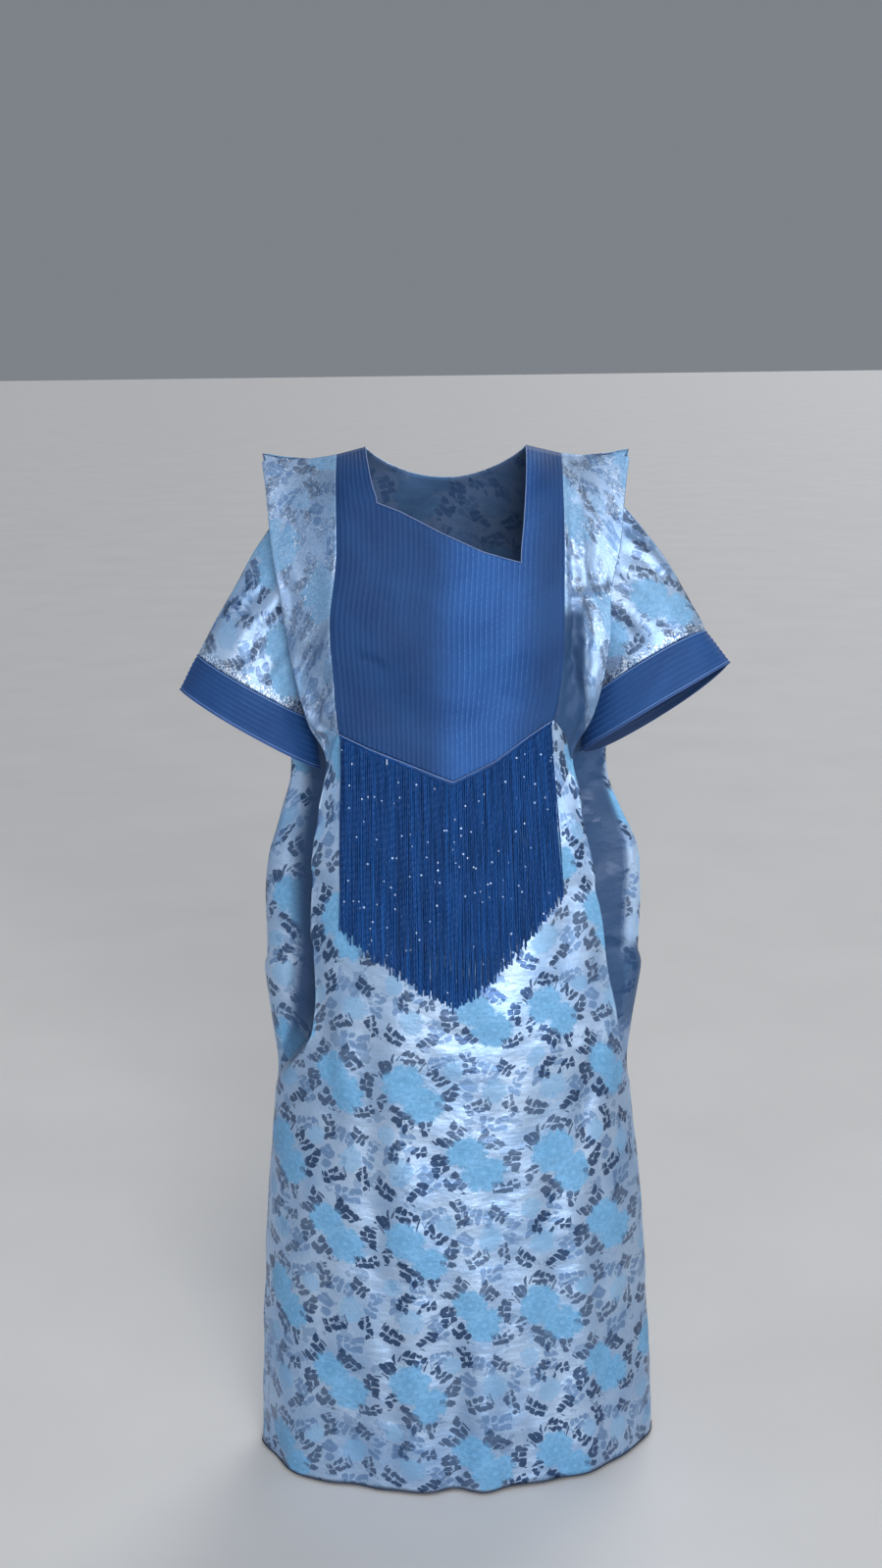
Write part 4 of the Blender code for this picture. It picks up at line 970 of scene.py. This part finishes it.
def backHalf(side, s, t):   # one half of the back, from the middle out to its side seam
    x = robe["flangeTop"] * np.minimum(s, 1.0)
    neck = robe["strapInner"]
    dip = robe["backNeckDrop"] * (1 - np.minimum(x / neck, 1.0) ** 2) ** 0.8
    top = np.where(s > 1, flangeHeights(side, s)[0],
                   np.where(x < neck, shoulderHeight(neck) - dip, shoulderHeight(x)))
    z = np.where(t <= 1, mix(top, robe["corner"], np.clip(t, 0, 1)),
                 np.where(t <= 2, mix(robe["corner"], robe["waist"], np.clip(t - 1, 0, 1)),
                          mix(robe["waist"], robe["hem"], np.clip(t - 2, 0, 1))))
    px, depth = sidePanel(side, "back", np.broadcast_to(s, z.shape), z)
    return np.stack((side * px, depth, z), -1)


def backPaintedShading(points, number):   # painted shade deep in the side pleats and on the left one's gather at the hip, less a painted highlight on the edge above it
    left, z = points[..., 0] > 0, points[..., 2]
    paintedShading = (np.where(left, ease(1.90, 2.04, number), ease(2.05, 2.35, number))
              * ease(*robe["merge"][::-1], z))
    high, deep = backCut["pinched"]
    pinched = left * ease(0.75, 1.05, number) * ease(high, high - 0.012, z) * ease(deep, deep + 0.05, z)
    crestHighlight = (left * ease(0.80, 1.10, number) * ease(1.95, 1.85, number)
             * ease(high - 0.005, high + 0.010, z) * ease(*backCut["crestEnds"], z))
    return np.maximum(paintedShading, backCut["pinchedShade"] * pinched) - backCut["crestHighlight"] * crestHighlight


def makeBack():
    outward = steps((0, 1, backCut["sheet"]), (1, 2, backCut["fold"]), (2, 3, backCut["inner"]))
    t = steps((0, 1, backCut["strapRows"]), (1, 2, backCut["bodyRows"]),
              (2, 3, backCut["skirtRows"]))[:, None]
    left, right = (backHalf(side, outward[None, :], t) for side in (1, -1))
    points = np.concatenate((left[:, ::-1], right[:, 1:]), 1)
    low = points[..., 2:] < robe["waist"] - 1e-6
    points = np.where(low, hang(points), points)
    plan = cutPlan(points, len(outward) - 1)
    number = np.concatenate((outward[::-1], outward[1:]))[None, :]
    stiff = (number > 0.97) & (points[..., 2] > robe["waist"])   # the flange's edge creases less
    sides = ease(3.0, 2.6, number) * np.where(stiff, backCut["stiff"], 1.0)
    fade = ease(0.0, 0.020, plan[:1, :, 1] - plan[..., 1])
    relief = creaseRelief(frontView(points), backCreases) + softWaves(plan, *backCut["waves"])
    points = points + gridNormals(points) * (relief * fade * sides)[..., None]
    piece = thicken(layCloth("back_panel", points, plan, paintedShading=backPaintedShading(points, number)),
                    robe["cloth"], brocadeOut, brocadeIn)
    return dress(piece, "brocade", "back"), points, plan


print("brocade panels")
flangePieces = {side: makeFlange(side) for side in (-1, 1)}
skirtPiece, skirtPoints, skirtPlan = makeSkirt()
backPiece, backPoints, backPlan = makeBack()


sleeves = {   # ends of the cuff's seam and of its edge, the mouth's half depth and the sleeve's arch
    -1: dict(seamTop=(-0.333, -0.026, -0.264), seamBottom=(-0.183, -0.026, -0.352),
             edgeTop=(-0.360, -0.026, -0.311), edgeBottom=(-0.178, -0.026, -0.421),
             depth=0.050, backDrop=0.10, sag=0.0, arch=0.006),
    1: dict(seamTop=(0.343, -0.026, -0.241), seamBottom=(0.182, -0.026, -0.336),
            edgeTop=(0.376, -0.026, -0.283), edgeBottom=(0.180, -0.026, -0.401),
            depth=0.052, backDrop=0.45, sag=0.009, arch=0.014),
}
sleeveGrid = {"half": 56, "rows": 64, "ends": 3, "archFade": 0.15, "archLift": 0.4, "rootRound": 0.002,
              "mouthRound": 0.003, "waves": 0.0012, "mapShift": 0.3,
              "marks": 8, "upper": (0.0, 0.13, 0.33, 0.63, 1.0)}   # places down the armhole
sleeveCreases = {   # across from the sleeve's top edge round the front, and up from the cuff
    -1: ((0.060, 0.020, 0.110, 0.150, 0.012, 0.0036), (0.120, 0.010, 0.150, 0.120, 0.010, 0.0030),
         (0.030, 0.070, 0.060, 0.170, 0.009, 0.0026), (0.250, 0.020, 0.230, 0.150, 0.012, 0.0034),
         (0.310, 0.030, 0.300, 0.140, 0.010, 0.0030)),
    1: ((0.050, 0.010, 0.090, 0.140, 0.011, 0.0034), (0.100, 0.020, 0.140, 0.110, 0.012, 0.0036),
        (0.020, 0.080, 0.050, 0.160, 0.009, 0.0022), (0.240, 0.030, 0.230, 0.140, 0.012, 0.0032),
        (0.300, 0.020, 0.310, 0.130, 0.010, 0.0030)),
}


def ringShare():   # round a pressed ring: from its top over the front to the bottom, then the back
    count, last = sleeveGrid["half"], sleeveGrid["marks"]
    front = np.linspace(0, last, count + 1)
    pinch = np.linspace(0, 1, sleeveGrid["ends"] + 2)[1:-1]
    row = np.concatenate((front, np.full(len(pinch), float(last)), front[::-1], np.zeros(len(pinch)),
                          front[:1]))
    turn = np.concatenate((-np.ones(count + 1), mix(-1, 1, pinch), np.ones(count + 1),
                           mix(1, -1, pinch), [-1.0]))
    out = np.concatenate((np.zeros(count + 1), np.sin(pinch * math.pi), np.zeros(count + 1),
                          np.sin(pinch * math.pi), [0.0]))
    return row, turn, out


def mouthRing(side, t):
    cut = sleeves[side]
    top = mix(np.array(cut["seamTop"]), np.array(cut["edgeTop"]), t)
    bottom = mix(np.array(cut["seamBottom"]), np.array(cut["edgeBottom"]), t)
    row, turn, out = ringShare()
    angle = math.pi * (row + 0.4) / (sleeveGrid["marks"] + 0.8)
    away = (bottom - top) / np.linalg.norm(bottom - top)
    spine = (top + bottom) / 2 - (bottom - top) / 2 * np.cos(angle)[:, None]
    spine[:, 2] -= cut["sag"] * t * np.sin(angle)
    lower = np.where(row > sleeveGrid["marks"] / 2, 1, -1)
    spine = spine + away * (lower * out * sleeveGrid["mouthRound"])[:, None]
    deep = np.array([0.0, 1.0, -cut["backDrop"]])
    return spine + deep * (turn * np.sin(angle) ** 1.2 * cut["depth"])[:, None]


def facingOut(points, side):
    return points[:, ::-1] if side > 0 else points


def sleeveRings(side):   # from the armhole, out to the cuff's seam
    cut = sleeves[side]
    row, turn, out = ringShare()
    top, corner, bottom = [float(v) for v in flangeHeights(side, np.array(3.0))]
    marks = [mix(top, corner, step) for step in sleeveGrid["upper"]]
    marks += [mix(corner, bottom, step / 6) for step in range(1, 5)]
    z = np.interp(row, np.arange(sleeveGrid["marks"] + 1), marks)
    x = side * (curved(edgeSizes[side], "seam", z) + 2 * robe["seamGap"])
    y = turn * (seamDepth(z) - 2 * robe["seamGap"])
    lower = np.where(row > sleeveGrid["marks"] / 2, -1, 1)
    root, end = np.stack((x, y, z + lower * out * sleeveGrid["rootRound"]), -1), mouthRing(side, 0.0)
    rings = []
    for t in np.linspace(0, 1, sleeveGrid["rows"] + 1):
        ring = mix(root, end, t)
        high = 1 - np.clip((ring[:, 2].max() - ring[:, 2]) / sleeveGrid["archFade"], 0, 1)
        arch = cut["arch"] * math.sin(math.pi * t) * high
        ring[:, 0] += side * arch
        ring[:, 2] += sleeveGrid["archLift"] * arch
        rings.append(ring)
    return facingOut(np.array(rings), side)


def makeSleeve(side):
    points = sleeveRings(side)
    across, down = lengths(points, 1), lengths(points, 0)
    plan = np.stack((np.broadcast_to(across[len(across) // 2], across.shape), down[-1:] - down), -1)
    places = plan if side < 0 else np.stack((plan[..., 0].max() - plan[..., 0], plan[..., 1]), -1)
    fade = ease(0.0, 0.016, plan[..., 1]) * ease(0.0, 0.03, down)
    waves = softWaves(places, sleeveGrid["waves"], 3.3 + side)
    relief = (creaseRelief(places, sleeveCreases[side]) + waves) * fade
    relief[:, -1] = relief[:, 0]
    points = points + gridNormals(points, wrap=True) * relief[..., None]
    name = sideNames[side]
    plan[..., 0] += sleeveGrid["mapShift"] * side
    piece = thicken(layCloth("sleeve_cloth_" + name, points, plan, wrap=True), robe["cloth"],
                    brocadeSleeve, brocadeIn)
    dress(piece, "brocade", "sleeve_" + name)
    return piece, plan


cuff = {"tucks": 8, "perTuck": 8, "tuckHeight": 0.0007, "wave": 0.0008, "waveRate": 38}


def makeCuff(side):
    rows = cuff["tucks"] * cuff["perTuck"]
    cut = sleeves[side]
    deep = np.linalg.norm(np.subtract(cut["edgeTop"], cut["seamTop"]))
    t = np.linspace(2 * robe["seamGap"] / deep, 1.0, rows + 1)
    points = facingOut(np.array([mouthRing(side, step) for step in t]), side)
    across, down = lengths(points, 1), lengths(points, 0)
    plan = np.stack((down[-1:] - down, across), -1)
    counted = np.arange(rows + 1)[:, None] / cuff["perTuck"] * tucked["pitch"]
    places = np.stack(np.broadcast_arrays(counted, across), -1)
    ridges = tuckRidges(np.arange(rows + 1) / cuff["perTuck"], cuff["tuckHeight"])[:, None]
    wave = cuff["wave"] * np.sin(cuff["waveRate"] * across + 2.0 * side)
    relief = ridges + wave * ease(0.0, 0.3, t)[:, None]
    relief[:, -1] = relief[:, 0]
    points = points + gridNormals(points, wrap=True) * relief[..., None]
    name = sideNames[side]
    piece = thicken(layCloth("cuff_tucked_" + name, points, places, wrap=True), robe["lining"],
                    tuckedOut, tuckedIn)
    dress(piece, "pintuck_blue", "cuff_" + name)
    return piece, points, plan


print("sleeves and cuffs")
sleevePieces = {side: makeSleeve(side) for side in (-1, 1)}
cuffPieces = {side: makeCuff(side) for side in (-1, 1)}


def makeCord(name, line, radius, finish, slot, closed=False):   # piping or thread laid along a line
    path = bpy.data.curves.new(name, "CURVE")
    path.dimensions = "3D"
    path.bevel_depth = radius
    path.bevel_resolution = 2
    path.use_fill_caps = not closed
    spline = path.splines.new("POLY")
    spline.points.add(len(line) - 1)
    for knot, place in zip(spline.points, line):
        knot.co = (*map(float, place), 1.0)
    spline.use_cyclic_u = closed
    guide = bpy.data.objects.new(name + "_guide", path)
    bpy.context.scene.collection.objects.link(guide)
    bpy.context.view_layer.update()
    mesh = bpy.data.meshes.new_from_object(guide.evaluated_get(bpy.context.evaluated_depsgraph_get()))
    bpy.data.objects.remove(guide, do_unlink=True)
    shape = bmesh.new()
    shape.from_mesh(mesh)
    bmesh.ops.remove_doubles(shape, verts=shape.verts, dist=1e-7)
    bmesh.ops.recalc_face_normals(shape, faces=shape.faces)
    made = finishMesh(name, shape)
    bpy.data.meshes.remove(mesh)
    made.data.materials.append(finish)
    return dress(made, slot)


trim = {"neck": 0.0007, "vSeam": 0.0008, "cuffEdge": 0.0011, "cuffLine": 0.00055, "hem": 0.0013,
        "neckLift": (0.0, -0.0006, 0.0004), "vLift": (0.0, -0.0016, -0.0006),
        "hemLift": (0.0, 0.0, 0.0015), "cuffRows": (2, -4), "cuffLift": 0.0004}


def makeTrims():
    rows = bib["strapRows"]
    first, last = bib["straps"]
    neck = np.concatenate((bibPoints[:rows, first], bibPoints[rows, first:last + 1],
                           bibPoints[rows - 1::-1, last]))
    makeCord("neck_piping", neck[::2] + np.array(trim["neckLift"]), trim["neck"], seamFinish,
             "pintuck_blue")
    makeCord("v_seam_piping", bibPoints[-1, ::4] + np.array(trim["vLift"]), trim["vSeam"], seamFinish,
             "pintuck_blue")
    for side in (-1, 1):
        points = cuffPieces[side][1]
        name = sideNames[side]
        makeCord("cuff_edge_" + name, points[-1, :-1], trim["cuffEdge"], cuffThread, "pintuck_blue",
                 closed=True)
        out = gridNormals(points, wrap=True)
        for count, row in enumerate(trim["cuffRows"]):
            line = (points + out * trim["cuffLift"])[row, :-1]
            makeCord("cuff_stitch_%s_%d" % (name, count), line, trim["cuffLine"], pipingFinish,
                     "pintuck_blue", closed=True)
    hem = np.concatenate((skirtPoints[-1, :-1], backPoints[-1, :-1]))
    makeCord("hem_binding", hem + np.array(trim["hemLift"]), trim["hem"], bindingFinish, "pintuck_blue",
             closed=True)


fringe = {
    "strands": 380, "length": 0.303, "layers": (0.0026, 0.0044, 0.0034), "splay": {-1: -0.008, 1: 0.017},
    "rise": {-1: 0.045, 1: 0.070}, "uneven": 0.007, "stray": 0.0015, "start": 0.004,
    "bugle": 0.0082, "seed": 0.0021, "gap": 0.0004, "bugleRadius": 0.00112, "seedRadius": 0.00125,
    "shoulder": 0.0003, "threadRadius": 0.00070, "sides": 4, "inset": 0.003,
    "sway": 0.0007, "lift": 0.0008,   # how far a strand bends sideways and stands off at its end
    "bandHeight": 0.0065, "bandInset": 0.001, "bandColumns": 120, "bandStand": 0.0028, "bandBeads": 500,
    "bandRows": 5,
}


def strandPlaces():
    return np.linspace(vSides[-1] + fringe["inset"], vSides[1] - fringe["inset"], fringe["strands"])


def beadRings(length, index):   # places and radii down one strand, and the bead that each belongs to
    number = index % 7
    at = (index * 0.618 % 1.0) * fringe["bugle"]
    rings = [(0.0, fringe["threadRadius"], number)]
    while at < length - fringe["bugle"]:
        long = number % 3 != 2
        size = fringe["bugle"] if long else fringe["seed"]
        fat = fringe["bugleRadius"] if long else fringe["seedRadius"]
        if long:
            rings += [(at + fringe["shoulder"], fat, number + 0.1),
                      (at + size - fringe["shoulder"], fat, number + 0.8)]
        else:
            rings += [(at + size / 2, fat, number + 0.5)]
        at += size + fringe["gap"]
        rings.append((at - fringe["gap"] / 2, fringe["threadRadius"], number + 0.99))
        number += 1
    return rings


def strandRings(index, x):   # one strand's rings, lying on the cloth behind it
    side = -1 if x < 0 else 1
    outer = abs(x) / abs(vSides[side])
    wild = [math.sin(index * rate + phase) for rate, phase in ((2.4, 0.0), (5.1, 1.0), (9.7, 2.0))]
    length = fringe["length"] - fringe["rise"][side] * outer ** 1.6 + fringe["uneven"] * wild[0]
    rings = np.array(beadRings(length, index))
    share = rings[:, 0] / length
    z = float(straight(vSeam, "z", x)) - fringe["start"] - rings[:, 0]
    px = x + fringe["splay"][side] * outer ** 2 * share + fringe["stray"] * wild[2] * share ** 1.5
    px = px + fringe["sway"] * np.sin(rings[:, 0] * 30 + index * 1.7)
    layer = fringe["layers"][index % len(fringe["layers"])]
    y = np.minimum.accumulate(frontPoint(px, z)[:, 1]) - layer - fringe["lift"] * wild[1] * share
    turn = 2 * math.pi * np.arange(fringe["sides"] + 1) / fringe["sides"] + 0.4 * index
    around = np.stack((np.cos(turn), np.sin(turn), np.zeros_like(turn)), -1)
    points = np.stack((px, y, z), -1)[:, None] + around[None] * rings[:, 1][:, None, None]
    points[:, -1] = points[:, 0]
    plan = np.stack(np.broadcast_arrays(index + 0.5, rings[:, 2][:, None] + np.zeros(len(turn))), -1)
    return points, plan


def makeFringe():
    places = strandPlaces()
    for name, chosen in (("fringe_strands_right", np.flatnonzero(places < 0)),
                         ("fringe_strands_left", np.flatnonzero(places >= 0))):
        points, plans, keeps = [], [], []
        for index in chosen:
            ring, plan = strandRings(int(index), float(places[index]))
            points += [ring, ring[-1:]]
            plans += [plan, plan[-1:]]
            keeps += [np.ones(ring.shape[:2], bool), np.zeros((1, ring.shape[1]), bool)]   # then a break
        piece = layCloth(name, np.concatenate(points), np.concatenate(plans), wrap=True,
                         keep=np.concatenate(keeps), capped=True)
        piece.data.materials.append(beadFinish)
        dress(piece, "bead_blue", "fringe")
    inset = fringe["bandInset"]
    x = np.linspace(vSides[-1] + inset, vSides[1] - inset, fringe["bandColumns"])
    z = straight(vSeam, "z", x)
    rows = np.linspace(-0.0008, -fringe["bandHeight"], fringe["bandRows"])[:, None]
    x, rows = np.broadcast_arrays(x, rows)
    band = frontPoint(x, z + rows)
    band[..., 1] -= fringe["bandStand"]
    plan = np.stack((x, rows), -1) * fringe["bandBeads"]
    piece = thicken(layCloth("fringe_heading", band, plan), robe["lining"], beadFinish, tuckedIn)
    dress(piece, "bead_blue", "fringe")


crystals = {"count": 76, "radius": 0.0016, "stand": 0.0014, "colour": (0.42, 0.60, 0.92),
            "from": 0.04, "spread": 0.93}   # shares of a strand's length that they lie between


def makeCrystals():   # faceted stones scattered down the outermost strands
    f = Finish("cut_crystal")
    place = f.node("ShaderNodeTexCoord", None, None, out=3)
    tone = f.noise(place, 160.0, 1.0)
    glass = f.set(Base_Color=f.tint(crystals["colour"], 0.55 + tone * 0.9), Roughness=0.20 + tone * 0.1,
                  Metallic=0.2, Specular_IOR_Level=0.5)
    places = strandPlaces()
    layers = fringe["layers"]
    outermost = np.arange(layers.index(max(layers)), fringe["strands"], len(layers))
    shape = bmesh.new()
    for number in range(crystals["count"]):
        index = int(outermost[number * 37 % len(outermost)])
        middles = strandRings(index, float(places[index]))[0][:, :-1].mean(1)
        chance = math.sin(number * 12.9898) * 43758.5453 % 1.0
        spot = middles[int((crystals["from"] + crystals["spread"] * chance) * (len(middles) - 1))]
        spot = spot - np.array([0.0, crystals["stand"], 0.0])
        size = crystals["radius"] * (0.65 + 0.5 * (number * 0.377 % 1.0))
        turned = Matrix.Translation(spot) @ Matrix.Rotation(number * 0.7, 4, "Y")
        bmesh.ops.create_icosphere(shape, subdivisions=1, radius=size, matrix=turned)
    piece = finishMesh("fringe_crystals", shape)
    piece.data.shade_flat()
    piece.data.materials.append(glass)
    return dress(piece, "bead_blue", "fringe")


print("trims and fringe")
makeTrims()
makeFringe()
makeCrystals()


print("cloth sizes")
for piece, plan, rests in (
        (skirtPiece, skirtPlan, "bib"), (backPiece, backPlan, "bib"),
        (*flangePieces[-1], "bib"), (*flangePieces[1], "bib"),
        (*sleevePieces[-1], "shoulder_flange_right"), (*sleevePieces[1], "shoulder_flange_left"),
        (*cuffPieces[-1][::2], "sleeve_cloth_right"), (*cuffPieces[1][::2], "sleeve_cloth_left")):
    flat, area = cutSize(plan)
    area = min(max(area, 0.3 * flat[0] * flat[1]), flat[0] * flat[1])
    print(piece.name, [round(n, 3) for n in flat], round(area, 3))


studio = {
    "floor": -1.4605, "floorSize": 80.0, "floorColour": (0.78, 0.77, 0.755), "sky": (0.74, 0.80, 0.90),
    "skyStrength": 0.28,
    "suns": (    # where it shines from, softness in degrees, strength and colour
        ("key", (0.60, -3.50, 0.90), 34, 1.72, (1.0, 0.98, 0.97)),
        ("back", (0.9, 2.2, 1.6), 40, 1.05, (0.97, 0.98, 1.0)),
    ),
    "lamps": (   # place, aim, width, height, spread in degrees, power and colour
        ("top", (0.3, -1.4, 2.2), (0.0, 0.0, -0.4), 1.2, 1.2, 180, 16, (1.0, 0.98, 0.95)),
        ("left", (-2.6, -0.6, 0.4), (0.0, 0.0, -0.5), 0.9, 1.8, 120, 4, (0.80, 0.90, 1.0)),
        ("right", (2.1, -1.7, 0.4), (0.27, 0.0, -0.22), 0.7, 0.7, 30, 1.0, (1.0, 0.99, 0.98)),
        ("low", (0.50, -2.30, -0.95), (0.10, 0.0, -0.98), 1.0, 0.6, 50, 1.5, (1.0, 0.99, 0.98)),
    ),
}


def addLamp(name, kind, place, aim, power, colour):
    lamp = bpy.data.lights.new(name, kind)
    lamp.energy, lamp.color = power, colour
    made = bpy.data.objects.new(name, lamp)
    away = np.subtract(place, aim)
    flat = math.hypot(away[0], away[1])
    made.matrix_world = (Matrix.Translation(place)
                         @ Matrix.Rotation(math.atan2(away[0], -away[1]), 4, "Z")
                         @ Matrix.Rotation(math.atan2(flat, away[2]), 4, "X"))
    bpy.context.scene.collection.objects.link(made)
    return lamp


def makeStudio():
    bpy.context.scene.view_settings.view_transform = "Standard"
    world = bpy.data.worlds.new("studio")
    bpy.context.scene.world = world
    world.use_nodes = True
    sky = world.node_tree.nodes["Background"]
    sky.inputs["Color"].default_value = (*studio["sky"], 1.0)
    sky.inputs["Strength"].default_value = studio["skyStrength"]
    shape = bmesh.new()
    bmesh.ops.create_grid(shape, x_segments=2, y_segments=2, size=studio["floorSize"],
                          matrix=Matrix.Translation((0, 0, studio["floor"])))
    floor = finishMesh("floor", shape)
    f = Finish("pale_floor")
    where = f.node("ShaderNodeTexCoord", None, None, out=3)
    grain = f.noise(where, 3.0, 3.0)
    floor.data.materials.append(f.set(Base_Color=f.tint(studio["floorColour"], 0.94 + grain * 0.12),
                                      Roughness=0.62, Specular_IOR_Level=0.3))
    for name, place, softness, strength, colour in studio["suns"]:
        addLamp(name, "SUN", place, (0.0, 0.0, 0.0), strength, colour).angle = math.radians(softness)
    for name, place, aim, width, height, spread, power, colour in studio["lamps"]:
        lamp = addLamp(name, "AREA", place, aim, power, colour)
        lamp.shape, lamp.size, lamp.size_y = "RECTANGLE", width, height
        lamp.spread = math.radians(spread)


viewpoint = {"place": (-0.0116, -2.43, 0.144), "tilt": 13.8, "roll": -0.0125, "focal": 1850 * 36 / 1599}


def makeCamera():
    camera = bpy.data.cameras.new("camera")
    camera.sensor_fit, camera.sensor_height, camera.lens = "VERTICAL", 36, viewpoint["focal"]
    made = bpy.data.objects.new("camera", camera)
    made.matrix_world = (Matrix.Translation(viewpoint["place"])
                         @ Matrix.Rotation(math.radians(90 - viewpoint["tilt"]), 4, "X")
                         @ Matrix.Rotation(viewpoint["roll"], 4, "Z"))
    bpy.context.scene.collection.objects.link(made)
    bpy.context.scene.camera = made


print("studio")
makeStudio()
makeCamera()
